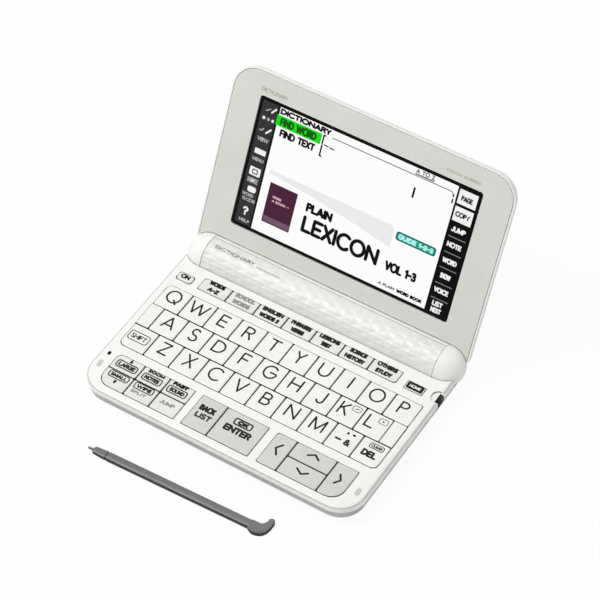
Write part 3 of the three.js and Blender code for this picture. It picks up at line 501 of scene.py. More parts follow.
class Glyphs:
    """A plain rounded stroke alphabet. Capitals are 100 units tall, and round ones reach past that.

    Each glyph is its width, a colon and its strokes. In a stroke, two numbers are a point, and six
    are an arc: centre, radii, and the angles where it starts and ends.
    """

    TABLE = {
        "A": "83: 0,0 41.5,100 83,0; 11,26 72,26",
        "B": "64: 0,52 36,52 36,26,28,26,90,-90 0,0 0,100 34,100 34,76,25,24,90,-90",
        "C": "86: 52,50,52,55,48,312",
        "D": "83: 0,0 0,100 30,100 30,50,53,50,90,-90 0,0",
        "E": "60: 60,100 0,100 0,0 60,0; 0,50 54,50",
        "F": "56: 56,100 0,100 0,0; 0,50 50,50",
        "G": "92: 50,50,50,55,47,348 94,48 50,48",
        "H": "77: 0,0 0,100; 77,0 77,100; 0,50 77,50",
        "I": "4: 2,0 2,100",
        "J": "50: 50,100 50,24 25,24,25,28,0,-160",
        "K": "64: 0,0 0,100; 58,100 0,40; 20,59 64,0",
        "L": "58: 0,100 0,0 58,0",
        "M": "96: 0,0 2,100 48,6 94,100 96,0",
        "N": "80: 0,0 0,100 80,0 80,100",
        "O": "105: 52.5,50,52.5,55,0,360",
        "P": "59: 0,0 0,100 32,100 32,75,27,25,90,-90 0,50",
        "Q": "105: 52.5,50,52.5,55,0,360; 66,24 92,-6",
        "R": "62: 0,0 0,100 34,100 34,75,27,25,90,-90 0,50; 33,50 62,0",
        "S": "60: 30,77,26,28,35,270 30,22,29,27,90,-150",
        "T": "70: 0,100 70,100; 35,100 35,0",
        "U": "83: 0,100 0,36 41.5,36,41.5,40,180,360 83,100",
        "V": "80: 0,100 40,0 80,100",
        "W": "134: 0,100 34,0 67,96 100,0 134,100",
        "X": "66: 0,0 66,100; 0,100 66,0",
        "Y": "64: 0,100 32,48 64,100; 32,48 32,0",
        "Z": "66: 0,100 66,100 0,0 66,0",
        "1": "24: 0,80 24,100 24,0",
        "2": "58: 29,72,27,28,165,-40 0,0 58,0",
        "3": "58: 28,76,24,24,150,-90 28,26,29,26,90,-150",
        "&": "70: 70,0 14,66 16,90 34,100 48,86 44,66 8,40 4,16 24,0 48,8 66,42",
        "?": "48: 24,76,24,24,170,-70 24,44 24,26; 24,4 24,0",
        "-": "50: 0,46 50,46",
        " ": "40:",
    }
    NUMBER = re.compile(r"-?\d+(?:\.\d+)?")
    ARC_STEP = 18.0
    LEAST_STEP = 1.0
    CAP = 100.0
    GAP = 26.0

    @classmethod
    def width(cls, letter: str) -> float:
        """Gives a glyph's width in its own units."""
        return float(cls.TABLE[letter].split(":")[0])

    @classmethod
    def strokes(cls, letter: str) -> list[list[Point]]:
        """Gives a glyph's strokes as lists of points in its own units.

        Args:
            letter: one character of the table.

        Returns:
            A list of points for each stroke.
        """
        found: list[list[Point]] = []
        for text in filter(None, (s.strip() for s in cls.TABLE[letter].split(":")[1].split(";"))):
            points: list[Point] = []
            for part in text.split():
                values = [float(v) for v in cls.NUMBER.findall(part)]
                if len(values) == 2:
                    points.append((values[0], values[1]))
                    continue
                centre_x, centre_y, radius_x, radius_y, start, end = values
                steps = max(2, math.ceil(abs(end - start) / cls.ARC_STEP))
                for step in range(steps + 1):
                    angle = math.radians(start + (end - start) * step / steps)
                    x = centre_x + radius_x * math.cos(angle)
                    y = centre_y + radius_y * math.sin(angle)
                    if not points or math.dist(points[-1], (x, y)) > cls.LEAST_STEP:
                        points.append((x, y))
            found.append(points)
        return found


@dataclass(frozen=True)
class Face:
    """A flat place to print or mount on. Its origin is in metres, its directions are unit long."""

    origin: Vector
    across: Vector
    up: Vector

    def at(self, x: float, y: float, lift: float) -> Vector:
        """Gives the point x and y millimetres along the face and lift millimetres above it."""
        normal = self.across.cross(self.up)
        return self.origin + (self.across * x + self.up * y + normal * lift) * MM


# How many edges a rounded corner has, and its turn in degrees.
CORNER_STEPS = 5
QUARTER_TURN = 90


def rounded_outline(low: Point, high: Point, radius: float) -> list[Point]:
    """Gives the outline of a rectangle with rounded corners, counter-clockwise.

    Args:
        low: the corner with the smallest values.
        high: the corner with the largest values.
        radius: the corners' radius.

    Returns:
        The outline's points.
    """
    radius = min(radius, (high[0] - low[0]) / 2 - SAME, (high[1] - low[1]) / 2 - SAME)
    left, right, front, rear = low[0] + radius, high[0] - radius, low[1] + radius, high[1] - radius
    outline = []
    for index, (x, y) in enumerate(((right, rear), (left, rear), (left, front), (right, front))):
        for step in range(CORNER_STEPS + 1):
            angle = math.radians(QUARTER_TURN * (index + step / CORNER_STEPS))
            outline.append((x + radius * math.cos(angle), y + radius * math.sin(angle)))
    return outline


class Relief:
    """Thin raised shapes on one face, gathered into one mesh. Each shape is a closed prism.

    Each top lies a hair above the last one's, so that shapes that cross don't share a plane. A
    stroke is parted where it turns by more than the corner turn, and its ends are rounded at the
    cap angles. The mitre limit is the least cosine of a bend that widens it.
    """

    CORNER_TURN = math.radians(48)
    CAP_ANGLES = (80, 50, 22)
    LAYER = 0.0012
    LAYERS = 16
    MITRE_LIMIT = 0.5
    LEAST_CORNER = 0.05

    def __init__(self, face: Face, rise: float, root: float) -> None:
        """Starts an empty relief.

        Args:
            face: the face that it lies on.
            rise: how far its top stands above the face.
            root: how far it reaches below the face.
        """
        self.face = face
        self.rise = rise
        self.root = root
        self.shapes = 0
        self.mesh = bmesh.new()

    def next_top(self) -> float:
        """Gives the next shape's height above the face.

        Returns:
            The height in millimetres.
        """
        top = self.rise + self.LAYER * (self.shapes % self.LAYERS)
        self.shapes += 1
        return top

    def prism(self, outline: Sequence[Point]) -> None:
        """Adds a filled outline.

        Args:
            outline: its points, counter-clockwise.
        """
        top = self.next_top()
        upper = [self.mesh.verts.new(self.face.at(x, y, top)) for x, y in outline]
        lower = [self.mesh.verts.new(self.face.at(x, y, -self.root)) for x, y in outline]
        self.mesh.faces.new(upper)
        self.mesh.faces.new(lower[::-1])
        for i, vertex in enumerate(upper):
            j = (i + 1) % len(upper)
            self.mesh.faces.new((vertex, lower[i], lower[j], upper[j]))

    def ribbon(self, points: Sequence[Point], width: float) -> None:
        """Adds one smooth stroke with round ends, or a ring if it comes back to its start.

        Args:
            points: the stroke's middle line.
            width: its width.
        """
        closed = len(points) > 3 and math.dist(points[0], points[-1]) < SAME
        middle = [Vector(p) for p in (points[:-1] if closed else points)]
        count = len(middle)
        left: list[Point] = []
        right: list[Point] = []
        for i, point in enumerate(middle):
            ends = []
            if closed or i > 0:
                ends.append((point - middle[i - 1]).normalized())
            if closed or i < count - 1:
                ends.append((middle[(i + 1) % count] - point).normalized())
            along = (ends[0] + ends[-1]).normalized()
            reach = width / 2 / max(self.MITRE_LIMIT, along.dot(ends[0]))
            side = Vector((-along.y, along.x)) * reach
            rows = [(point, side)]
            if not closed and i in (0, count - 1):
                outward = along * (-1 if i == 0 else 1)
                turns = [math.radians(a) for a in self.CAP_ANGLES]
                caps = [(point + outward * math.sin(t) * reach, side * math.cos(t)) for t in turns]
                rows = [*caps, *rows] if i == 0 else [*rows, *caps[::-1]]
            left.extend((c + s)[:] for c, s in rows)
            right.extend((c - s)[:] for c, s in rows)
        if closed:
            self.ring(left, right)
        else:
            self.prism([*right, *left[::-1]])

    def ring(self, first: Sequence[Point], second: Sequence[Point]) -> None:
        """Adds a closed band between two loops of as many points.

        Args:
            first: the loop on the left of the way that both run.
            second: the loop on the right.
        """
        top = self.next_top()
        first_top, first_low, second_top, second_low = (
            [self.mesh.verts.new(self.face.at(x, y, lift)) for x, y in loop]
            for loop in (first, second)
            for lift in (top, -self.root)
        )
        count = len(first)
        for i in range(count):
            j = (i + 1) % count
            self.mesh.faces.new((first_top[i], second_top[i], second_top[j], first_top[j]))
            self.mesh.faces.new((first_low[i], first_low[j], second_low[j], second_low[i]))
            self.mesh.faces.new((first_top[i], first_top[j], first_low[j], first_low[i]))
            self.mesh.faces.new((second_top[i], second_low[i], second_low[j], second_top[j]))

    def stroke(self, points: Sequence[Point], width: float) -> None:
        """Adds a stroke, which is parted at its sharp corners so that each joint is round.

        Args:
            points: the stroke's middle line.
            width: its width.
        """
        parts: list[list[Point]] = [[points[0]]]
        for i, point in enumerate(points[1:], 1):
            parts[-1].append(point)
            if i < len(points) - 1:
                before = Vector(point) - Vector(points[i - 1])
                after = Vector(points[i + 1]) - Vector(point)
                if before.angle(after) > self.CORNER_TURN:
                    parts.append([point])
        for part in parts:
            self.ribbon(part, width)

    def word(
        self, text: str, x: float, y: float, height: float, weight: float, width: float
    ) -> None:
        """Writes a word of stroke letters.

        Args:
            text: the word, in capitals.
            x: its middle, to the right.
            y: its middle, upwards.
            height: the capitals' height between stroke middles.
            weight: the strokes' width.
            width: the whole word's width, or zero where its letters keep their own.
        """
        natural = sum(Glyphs.width(c) + Glyphs.GAP for c in text) - Glyphs.GAP
        scale = height / Glyphs.CAP
        wide = (width - weight) / natural if width else scale
        start = x - natural * wide / 2
        for letter in text:
            for points in Glyphs.strokes(letter):
                self.stroke(
                    [(start + u * wide, y - height / 2 + v * scale) for u, v in points], weight
                )
            start += (Glyphs.width(letter) + Glyphs.GAP) * wide

    def frame(self, low: Point, high: Point, radius: float, weight: float) -> None:
        """Adds the outline of a rounded box as a band.

        Args:
            low: the corner with the smallest values, at the middle of the line.
            high: the corner with the largest values.
            radius: the corners' radius.
            weight: the line's width.
        """
        bands = []
        for half in (weight / 2, -weight / 2):
            start = (low[0] - half, low[1] - half)
            end = (high[0] + half, high[1] + half)
            corner = radius + half if half > 0 else max(self.LEAST_CORNER, radius + half)
            bands.append(rounded_outline(start, end, corner)[::-1])
        self.ring(*bands)

    def plate(self, low: Point, high: Point, radius: float) -> None:
        """Adds a filled box with rounded corners."""
        self.prism(rounded_outline(low, high, radius))

    def build(self, name: str, finish: Finish, body: str) -> None:
        """Makes the piece and lets it ride."""
        bmesh.ops.recalc_face_normals(self.mesh, faces=self.mesh.faces)
        make_piece(name, self.mesh, finish, body)


def make_piece(
    name: str, solid: bmesh.types.BMesh, finish: Finish, body: str, smooth: bool = False
) -> bpy.types.Object:
    """Turns a finished solid into a piece with its finish and its body.

    Args:
        name: the piece's name.
        solid: the solid, which is used up.
        finish: its finish.
        body: the body that carries it.
        smooth: whether its faces are shaded smoothly.

    Returns:
        The new piece.
    """
    mesh = bpy.data.meshes.new(name)
    for face in solid.faces:
        face.smooth = smooth
    solid.to_mesh(mesh)
    solid.free()
    mesh.materials.append(finish.material())
    piece = bpy.data.objects.new(name, mesh)
    bpy.context.scene.collection.objects.link(piece)
    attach(piece, body)
    LOG.info("%s: %d faces, rides on %s", name, len(mesh.polygons), body)
    return piece


def body_of(node: str) -> str:
    """Gives the body that carries a node."""
    return frame["nodes"][node]["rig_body"]


def rectangle(middle: Point, size: Point) -> tuple[Point, Point]:
    """Gives the lowest and the highest corner of a rectangle.

    Args:
        middle: its middle.
        size: its width and height.

    Returns:
        The two corners.
    """
    (x, y), (width, height) = middle, size
    return (x - width / 2, y - height / 2), (x + width / 2, y + height / 2)


@dataclass(frozen=True)
class Patch:
    """A finish for those faces of a piece whose middle and direction pass a test."""

    finish: Finish
    picks: Callable[[Vector, Vector], bool]


# Flat faces that turn by less than this are joined into one.
FLAT_TURN = math.radians(0.4)


def soften(
    node: str,
    finish: Finish,
    edge: float,
    segments: int = 3,
    keep: float = 28.0,
    patches: Sequence[Patch] = (),
    smooth: bool = True,
) -> None:
    """Stands a copy with softened edges in a node's place.

    Args:
        node: the node that it replaces.
        finish: its finish.
        edge: the width of the softened edges in millimetres.
        segments: how many faces each edge is rounded with.
        keep: the angle in degrees from which an edge counts as one.
        patches: other finishes for some of its faces. The first that picks a face wins.
        smooth: whether the faces in its own finish are shaded smoothly. Its patches are.
    """
    source = frame["nodes"][node]
    solid = bmesh.new()
    solid.from_mesh(source.data)
    bmesh.ops.remove_doubles(solid, verts=solid.verts, dist=SAME)
    bmesh.ops.dissolve_limit(solid, angle_limit=FLAT_TURN, verts=solid.verts, edges=solid.edges)
    place = source.matrix_world.copy()
    turn = place.to_3x3()
    for face in solid.faces:
        middle, normal = place @ face.calc_center_median() / MM, turn @ face.normal
        found = (i for i, patch in enumerate(patches, 1) if patch.picks(middle, normal))
        face.material_index = next(found, 0)
    piece = make_piece(f"{node}_piece", solid, finish, body_of(node), smooth)
    for patch in patches:
        piece.data.materials.append(patch.finish.material())
    for polygon in piece.data.polygons:
        polygon.use_smooth = smooth or polygon.material_index > 0
    spare = piece.data.attributes.get("custom_normal")
    if spare is not None:
        piece.data.attributes.remove(spare)
    bevel = piece.modifiers.new("edges", "BEVEL")
    bevel.width = edge * MM
    bevel.segments = segments
    bevel.limit_method = "ANGLE"
    bevel.angle_limit = math.radians(keep)
    bevel.harden_normals = True
    bevel.miter_outer = "MITER_ARC"
    bevel.material = 0
    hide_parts(node)


class Kind(Enum):
    """How a mark is drawn."""

    WORD = "word"
    BOX = "box"
    LINE = "line"
    PLATE = "plate"
    SHAPE = "shape"


@dataclass(frozen=True)
class Mark:
    """One printed or lit mark, placed from the middle of its key or of its picture.

    Attributes:
        kind: how it is drawn.
        x: its middle, to the right.
        y: its middle, upwards.
        width: its width, where zero leaves a word as wide as its letters make it.
        height: its height.
        weight: the width of its lines, or the radius of a plate's corners.
        text: a word's letters.
        points: the points of a line or of a filled shape.
        tone: what it is printed or lit with.
    """

    kind: Kind
    x: float = 0.0
    y: float = 0.0
    width: float = 0.0
    height: float = 0.0
    weight: float = 0.0
    text: str = ""
    points: tuple[Point, ...] = ()
    tone: Tone = Tone.INK

    CORNER_SHARE: ClassVar[float] = 4

    def draw(self, relief: Relief, centre: Point) -> None:
        """Draws the mark.

        Args:
            relief: the relief that it becomes a part of.
            centre: the middle of its key or of its picture.
        """
        x, y = centre[0] + self.x, centre[1] + self.y
        low, high = rectangle((x, y), (self.width, self.height))
        places = [(x + u, y + v) for u, v in self.points]
        if self.kind is Kind.WORD:
            relief.word(self.text, x, y, self.height, self.weight, self.width)
        elif self.kind is Kind.BOX:
            relief.frame(low, high, self.height / self.CORNER_SHARE, self.weight)
        elif self.kind is Kind.PLATE:
            relief.plate(low, high, self.weight)
        elif self.kind is Kind.SHAPE:
            relief.prism(places)
        else:
            relief.stroke(places, self.weight)


def word(
    text: str, x: float, y: float, width: float, height: float, weight: float, tone: Tone = Tone.INK
) -> Mark:
    """Gives a word of that width and height."""
    return Mark(Kind.WORD, x, y, width, height, weight, text, tone=tone)


def box(
    x: float, y: float, width: float, height: float, weight: float, tone: Tone = Tone.INK
) -> Mark:
    """Gives the outline of a rounded box."""
    return Mark(Kind.BOX, x, y, width, height, weight, tone=tone)


def plate(
    x: float, y: float, width: float, height: float, corner: float = 0.1, tone: Tone = Tone.INK
) -> Mark:
    """Gives a filled box whose corners have that radius."""
    return Mark(Kind.PLATE, x, y, width, height, corner, tone=tone)


def line(weight: float, *points: Point, tone: Tone = Tone.INK) -> Mark:
    """Gives a line through points."""
    return Mark(Kind.LINE, weight=weight, points=points, tone=tone)


def shape(*points: Point, tone: Tone = Tone.INK) -> Mark:
    """Gives a filled shape, whose outline runs counter-clockwise."""
    return Mark(Kind.SHAPE, points=points, tone=tone)


def boxed(text: str, at: Point, outline: Sequence[float], letters: Sequence[float]) -> list[Mark]:
    """Gives a word in a rounded box.

    Args:
        text: the word.
        at: the middle of both.
        outline: the box's width, height and line weight.
        letters: the word's width, height and line weight.

    Returns:
        The box and the word.
    """
    return [box(*at, *outline), word(text, *at, *letters)]


@dataclass
class Print:
    """Marks on one face, gathered into one piece for each tone."""

    name: str
    face: Face
    body: str
    root: float = 0.03
    reliefs: dict[Tone, Relief] = field(default_factory=dict)

    def add(self, marks: Iterable[Mark], centre: Point = (0.0, 0.0)) -> None:
        """Draws marks.

        Args:
            marks: the marks.
            centre: the middle that they are placed from.
        """
        for mark in marks:
            if mark.tone not in self.reliefs:
                self.reliefs[mark.tone] = Relief(self.face, mark.tone.value[1], self.root)
            mark.draw(self.reliefs[mark.tone], centre)

    def build(self) -> None:
        """Makes the pieces."""
        for tone, relief in self.reliefs.items():
            relief.build(f"{self.name}_{tone.name.lower()}", tone.value[0], self.body)


@dataclass
class Keyboard:
    """All keycaps and what is printed on them.

    A mark is placed from the middle of its key. The function words are, for each dictionary key,
    the upper word and its width, and the lower word and its width.
    """

    edge: float = 0.12
    upright: float = 0.3
    letter_height: float = 6.5
    letter_weight: float = 0.88
    letter_shift: Point = (-0.15, 1.1)
    side_letter_shift: Point = (-2.0, 1.1)
    function_rows: tuple[float, float] = (2.45, -1.4)
    function_size: Point = (1.75, 0.85)
    function_words: tuple[tuple[str, float, str, float], ...] = (
        ("WORDS", 8.5, "A-Z", 6.0),
        ("SCHOOL", 10.6, "WORDS", 9.4),
        ("ENGLISH", 11.2, "WORDS 2", 10.6),
        ("PHRASES", 10.8, "VERBS", 7.0),
        ("LESSONS", 10.8, "TEST", 5.4),
        ("SCIENCE", 9.0, "HISTORY", 10.4),
        ("OTHERS", 10.6, "STUDY", 8.6),
    )

    TEARDROP: ClassVar[tuple[Point, ...]] = (
        (0, 1.3), (-0.45, 0.5), (-0.75, -0.3), (-0.55, -0.95),
        (0, -1.15), (0.55, -0.95), (0.75, -0.3), (0.45, 0.5),
    )

    def labels(self) -> dict[str, Sequence[Mark]]:
        """Gives the marks of the keys that carry more than a letter.

        Returns:
            The marks for each of those nodes.
        """
        drop_up = [(0.65 + u, 2.95 + v) for u, v in self.TEARDROP]
        drop_down = [(0.55 + u, -1.2 - v) for u, v in reversed(self.TEARDROP)]
        return {
            "key_power": (word("ON", -0.15, 0.4, 4.8, 1.9, 0.75),),
            "key_mode": (
                plate(0.05, 0.1, 8.3, 4.0, 0.6),
                word("HOME", 0.05, 0.1, 5.6, 1.2, 0.36, Tone.WHITE),
            ),
            "key_shift": boxed("SHIFT", (-0.2, 0.4), (10.3, 5.2, 0.45), (8.0, 2.2, 0.5)),
            "key_symbol": (
                line(1.0, (-3.6, -0.85), (-1.3, -0.85)),
                word("&", 2.2, -0.85, 3.3, 2.9, 0.85),
                line(1.1, (0.1, 3.8), (0.1, 4.2)),
                line(1.1, (2.7, 4.25), (3.3, 4.25)),
            ),
            "key_delete": (
                *boxed("CLEAR", (1.1, 3.9), (6.8, 2.7, 0.45), (5.4, 1.1, 0.42)),
                word("DEL", 0.05, -1.0, 7.6, 2.7, 1.0),
            ),
            "key_list": (
                word("BACK", -0.1, 3.1, 8.2, 2.4, 1.0),
                word("LIST", 0.2, -1.3, 8.2, 2.3, 0.8),
            ),
            "key_enter": (
                *boxed("OK", (0, 4.5), (8.8, 3.3, 0.75), (5.4, 1.4, 0.95)),
                word("ENTER", -0.1, -0.3, 14.0, 2.8, 1.05),
            ),
            "key_left_1": (
                *boxed("SMALL", (0.45, 2.35), (10.2, 3.4, 0.55), (8.6, 1.5, 0.6)),
                shape(*drop_down),
            ),
            "key_left_2": (
                *boxed("WIPE", (-0.1, 2.45), (9.9, 3.4, 0.55), (7.8, 1.4, 0.65)),
                word("SPLIT", -0.9, -1.1, 8.0, 1.2, 0.5, Tone.GREY),
            ),
            "key_left_3": (word("JUMP", -0.1, 0.75, 7.8, 1.5, 0.6, Tone.GREY),),
            "key_left_4": (
                *boxed("LARGE", (0.25, -0.55), (10.6, 3.7, 0.6), (8.8, 1.7, 0.7)),
                shape(*drop_up),
            ),
            "key_left_5": (
                *boxed("NOTES", (-0.15, -0.75), (9.8, 3.7, 0.6), (7.8, 1.6, 0.7)),
                word("ZOOM", 0, 3.0, 8.8, 1.1, 0.7),
            ),
            "key_left_6": (
                *boxed("SOUND", (-0.3, -0.7), (9.8, 3.7, 0.6), (7.8, 1.6, 0.7)),
                word("FAST", -0.5, 3.0, 8.0, 1.2, 0.95),
            ),
            "key_cursor_left": (line(0.95, (0.75, 4.1), (-1.25, 1.3), (0.85, -2.0)),),
            "key_cursor_right": (line(0.95, (-0.9, 3.8), (0.9, 1.0), (-1.0, -1.6)),),
            "key_cursor_up": (line(0.95, (-2.8, 0.15), (0.2, 2.1), (2.9, 0.2)),),
            "key_cursor_down": (line(0.95, (-2.9, 1.25), (0.1, -0.7), (2.8, 1.2)),),
            **self.function_labels(),
        }

    def function_labels(self) -> dict[str, Sequence[Mark]]:
        """Gives the two small rows on each dictionary key. The second key's are printed in grey.

        Returns:
            The marks for each of those nodes.
        """
        upper, lower = self.function_rows
        labels = {}
        for number, (first, wide, second, narrow) in enumerate(self.function_words, 1):
            tone = Tone.GREY if number == 2 else Tone.INK
            labels[f"key_function_{number}"] = (
                word(first, 0, upper, wide, *self.function_size, tone),
                word(second, 0, lower, narrow, *self.function_size, tone),
            )
        return labels

    def letter_labels(self, node: str) -> Sequence[Mark]:
        """Gives a letter key's marks: its letter, and the small picture on K and L.

        Args:
            node: the key's node.

        Returns:
            The marks.
        """
        letter = node.removeprefix("key_").upper()
        outline = box(3.2, 3.6, 4.2, 3.0, 0.5, Tone.GREY)
        icon = {
            "K": (outline, line(0.5, (2.6, 3.4), (3.9, 3.8))),
            "L": (outline, line(0.7, (3.0, 3.7), (3.4, 3.5))),
        }.get(letter, ())
        x, y = self.side_letter_shift if icon else self.letter_shift
        return (word(letter, x, y, 0, self.letter_height, self.letter_weight), *icon)

    def finish_of(self, node: str) -> Finish:
        """Gives a keycap's finish.

        Args:
            node: the key's node.

        Returns:
            The finish.
        """
        if node.startswith(("key_list", "key_enter", "key_cursor")):
            return KEYCAP_GREY
        pale = node.startswith(("key_left", "key_function", "key_power", "key_mode"))
        return KEYCAP_PALE if pale else KEYCAP

    def build(self) -> None:
        """Makes each keycap and prints its marks."""
        # The keys' flanks get the gaps' painted shade.
        flank = Patch(GAP_SHADE, lambda _, normal: abs(normal.z) < self.upright)
        labels = self.labels()
        for node in sorted(n for n in frame["nodes"] if n.startswith("key_")):
            soften(node, self.finish_of(node), self.edge, patches=(flank,))
            low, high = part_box(node)
            top = Face(Vector((0, 0, high.z)), RIGHT, REARWARD)
            legend = Print(f"{node}_legend", top, body_of(node))
            marks = labels.get(node) or self.letter_labels(node)
            legend.add(marks, ((low.x + high.x) / 2 / MM, (low.y + high.y) / 2 / MM))
            legend.build()


@dataclass
class Base:
    """The base's two shells, its inside, and the small fittings on them.

    Fittings are placed from the middle of the deck's front edge. The keyboard's corner, the rim's
    painted shade and the channel's two corners are places in the frame, and heights there are from
    the table.
    """

    cover_edge: float = 0.2
    case_edge: float = 0.25
    board_edge: float = 0.1
    cell_edge: float = 0.3
    pads: tuple[Point, ...] = ((-68.9, 13.6), (68.3, 13.6))
    pad_size: Point = (1.9, 4.0)
    pad_rise: float = 0.35
    lamps: tuple[Point, ...] = ((-68.6, 20.7),)
    lamp_size: Point = (1.6, 2.3)
    lamp_rise: float = 0.015
    spot_root: float = 0.3
    blanks: tuple[tuple[Point, Point], ...] = (
        ((-68.4, 41.96), (-62.1, 55.41)),
        ((62.1, 41.96), (68.4, 55.41)),
    )
    blank_gap: float = 0.45
    blank_gap_rise: float = 0.01
    blank_gap_corner: float = 0.1
    blank_rise: float = 0.49
    blank_corner: float = 0.2
    blank_root: float = 0.1
    screws: tuple[Point, ...] = ((-60.0, 22.0), (60.0, 22.0), (-60.0, 66.0), (56.0, 66.0))
    screw_width: float = 4.4
    screw_rise: float = 0.25
    screw_root: float = 0.5
    cross_rise: float = 0.27
    cross_reach: float = 1.2
    cross_weight: float = 0.5
    key_rise: float = 0.45
    floor: float = 2.14
    upright: float = 0.3
    keyboard_corner: Point = (60.0, -46.4)
    keyboard_reach: float = 11.6
    rim_shade_heights: Point = (10.5, 10.8)
    channel_low: tuple[float, float, float] = (-21.2, 15.2, 4.0)
    channel_high: tuple[float, float, float] = (72.5, 21.2, 10.3)

    def deck(self) -> Face:
        """Gives the deck's face, with its origin at the middle of the front edge.

        Returns:
            The face.
        """
        low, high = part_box("base_top_cover")
        top = high.z - self.key_rise * MM
        return Face(Vector((0, low.y, top)), RIGHT, REARWARD)

    def underside(self) -> Face:
        """Gives the underside's face, seen from below."""
        low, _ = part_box("base_top_cover")
        return Face(Vector((0, low.y, self.floor * MM)), -RIGHT, REARWARD)

    def in_channel(self, middle: Vector, normal: Vector) -> bool:
        """Tells whether a face is a wall of the stylus channel.

        Args:
            middle: the face's middle in millimetres.
            normal: the way it faces.

        Returns:
            Whether it is one.
        """
        limits = zip(self.channel_low, middle, self.channel_high, strict=True)
        inward = abs(normal.x) < self.upright or middle.x < 0
        return inward and all(low < at < high for low, at, high in limits)

    def in_gap(self, middle: Vector, normal: Vector) -> bool:
        """Tells whether a face is an upright wall of a hole in the deck.

        Args:
            middle: the face's middle in millimetres.
            normal: the way it faces.

        Returns:
            Whether it is one.
        """
        corner_x, corner_y = self.keyboard_corner
        beyond = (max(abs(middle.x) - corner_x, 0), max(corner_y - middle.y, 0))
        return abs(normal.z) < self.upright and math.hypot(*beyond) < self.keyboard_reach

    def in_rim_shade(self, middle: Vector, normal: Vector) -> bool:
        """Tells whether a face belongs to the strip of the rounded rim that gets the painted shade.
        """
        low, high = self.rim_shade_heights
        return self.upright < normal.z and low < middle.z < high

    def build(self) -> None:
        """Makes the shells, what lies inside them, and the fittings."""
        # The channel's walls get painted shade.
        channel = Patch(CHANNEL_SHADE, self.in_channel)
        # The upright walls of the deck's key holes get the same painted shade.
        gap = Patch(GAP_SHADE, self.in_gap)
        rim_shade = Patch(RIM_SHADE, self.in_rim_shade)
        foot = Patch(FOOT_RUBBER, lambda middle, _: middle.z < self.floor / 2)
        soften("base_top_cover", SHELL, self.cover_edge, patches=(channel, gap, rim_shade))
        soften("base_bottom_case", CASE, self.case_edge, patches=(channel, foot))
        soften("circuit_board", BOARD, self.board_edge, 2)
        soften("battery_cells", SLEEVE, self.cell_edge)
        deck = self.deck()
        for name, finish, places, size, rise in (
            ("deck_pads", RUBBER, self.pads, self.pad_size, self.pad_rise),
            # The lamp window is a dark plate of painted shade.
            ("deck_lamp", OPENING_SHADE, self.lamps, self.lamp_size, self.lamp_rise),
        ):
            spots = Relief(deck, rise, self.spot_root)
            for place in places:
                spots.plate(*rectangle(place, size), size[0] / 2)
            spots.build(name, finish, "base")
        self.add_blanks(deck)
        self.add_screws(self.underside())

    def add_blanks(self, deck: Face) -> None:
        """Fills both ends of the middle letter row with a blank cap in a dark plate of painted gap
        shade.

        Args:
            deck: the deck's face.
        """
        gaps = Relief(deck, self.blank_gap_rise, self.blank_root)
        caps = Relief(deck, self.blank_rise, self.blank_root)
        gap = self.blank_gap
        for (left, front), (right, rear) in self.blanks:
            outer = (left - gap, front - gap), (right + gap, rear + gap)
            gaps.plate(*outer, self.blank_gap_corner)
            caps.plate((left, front), (right, rear), self.blank_corner)
        gaps.build("deck_blank_gaps", GAP_SHADE, "base")
        caps.build("deck_blank_caps", KEYCAP, "base")

    def add_screws(self, under: Face) -> None:
        """Sets the screws in the underside: a low round head with a cross in each.

        Args:
            under: the underside's face.
        """
        heads = Relief(under, self.screw_rise, self.screw_root)
        crosses = Relief(under, self.cross_rise, 0.0)
        reach = self.cross_reach
        for x, y in self.screws:
            heads.plate(*rectangle((-x, y), (self.screw_width,) * 2), self.screw_width / 2)
            for u, v in ((reach, 0), (0, reach)):
                crosses.ribbon([(-x - u, y - v), (-x + u, y + v)], self.cross_weight)
        heads.build("case_screws", STEEL, "base")
        # The crosses are near-black reliefs: painted shade for their recesses.
        crosses.build("case_screw_crosses", OPENING_SHADE, "base")


@dataclass
class Hinge:
    """The barrel with its quilted relief, and the cover over the cells.

    The groove starts and ends at two angles around the axis, in degrees from straight back. The
    word is placed by its middle across and its angle, and the rule runs beside it.
    """

    radius: float = 9.79
    barrel_edge: float = 0.08
    barrel_segments: int = 2
    facet_angle: float = 12
    cover_edge: float = 0.2
    groove: Point = (69.2, 71.4)
    word_at: Point = (-48.2, 98.7)
    word_size: tuple[float, float, float] = (21.5, 1.3, 0.4)
    rule: tuple[Point, Point] = ((-35.6, -0.9), (-23.3, -0.9))
    rule_weight: float = 0.25
    print_root: float = 0.1

    def angle_of(self, middle: Vector) -> float:
        """Gives the angle in degrees of a place around the hinge's axis, from straight back."""
        return math.degrees(math.atan2(middle.z - HINGE_AXIS[1], middle.y - HINGE_AXIS[0]))

    def on_barrel(self, angle: float) -> Face:
        """Gives the face that touches the barrel at an angle.

        Args:
            angle: the angle in degrees around the hinge's axis, from straight back.

        Returns:
            The face.
        """
        turn = math.radians(angle)
        out = Vector((0, math.cos(turn), math.sin(turn)))
        origin = (Vector((0, *HINGE_AXIS)) + out * self.radius) * MM
        return Face(origin, RIGHT, out.cross(RIGHT))

    def build(self) -> None:
        """Makes the barrel with its plain rear strip, its word and rule, and the battery cover."""
        start, end = self.groove
        groove = Patch(GROOVE_SHADE, lambda middle, _: start < self.angle_of(middle) < end)
        strip = Patch(SHELL, lambda middle, _: abs(self.angle_of(middle)) <= start)
        soften(
            "hinge_barrel",
            BARREL,
            self.barrel_edge,
            self.barrel_segments,
            self.facet_angle,
            (groove, strip),
            smooth=False,
        )
        soften("battery_cover", CASE, self.cover_edge)
        x, angle = self.word_at
        legend = Print("barrel_word", self.on_barrel(angle), "base", self.print_root)
        name = word("DICTIONARY", x, 0, *self.word_size, Tone.GREY)
        legend.add((name, line(self.rule_weight, *self.rule, tone=Tone.GREY)))
        legend.build()


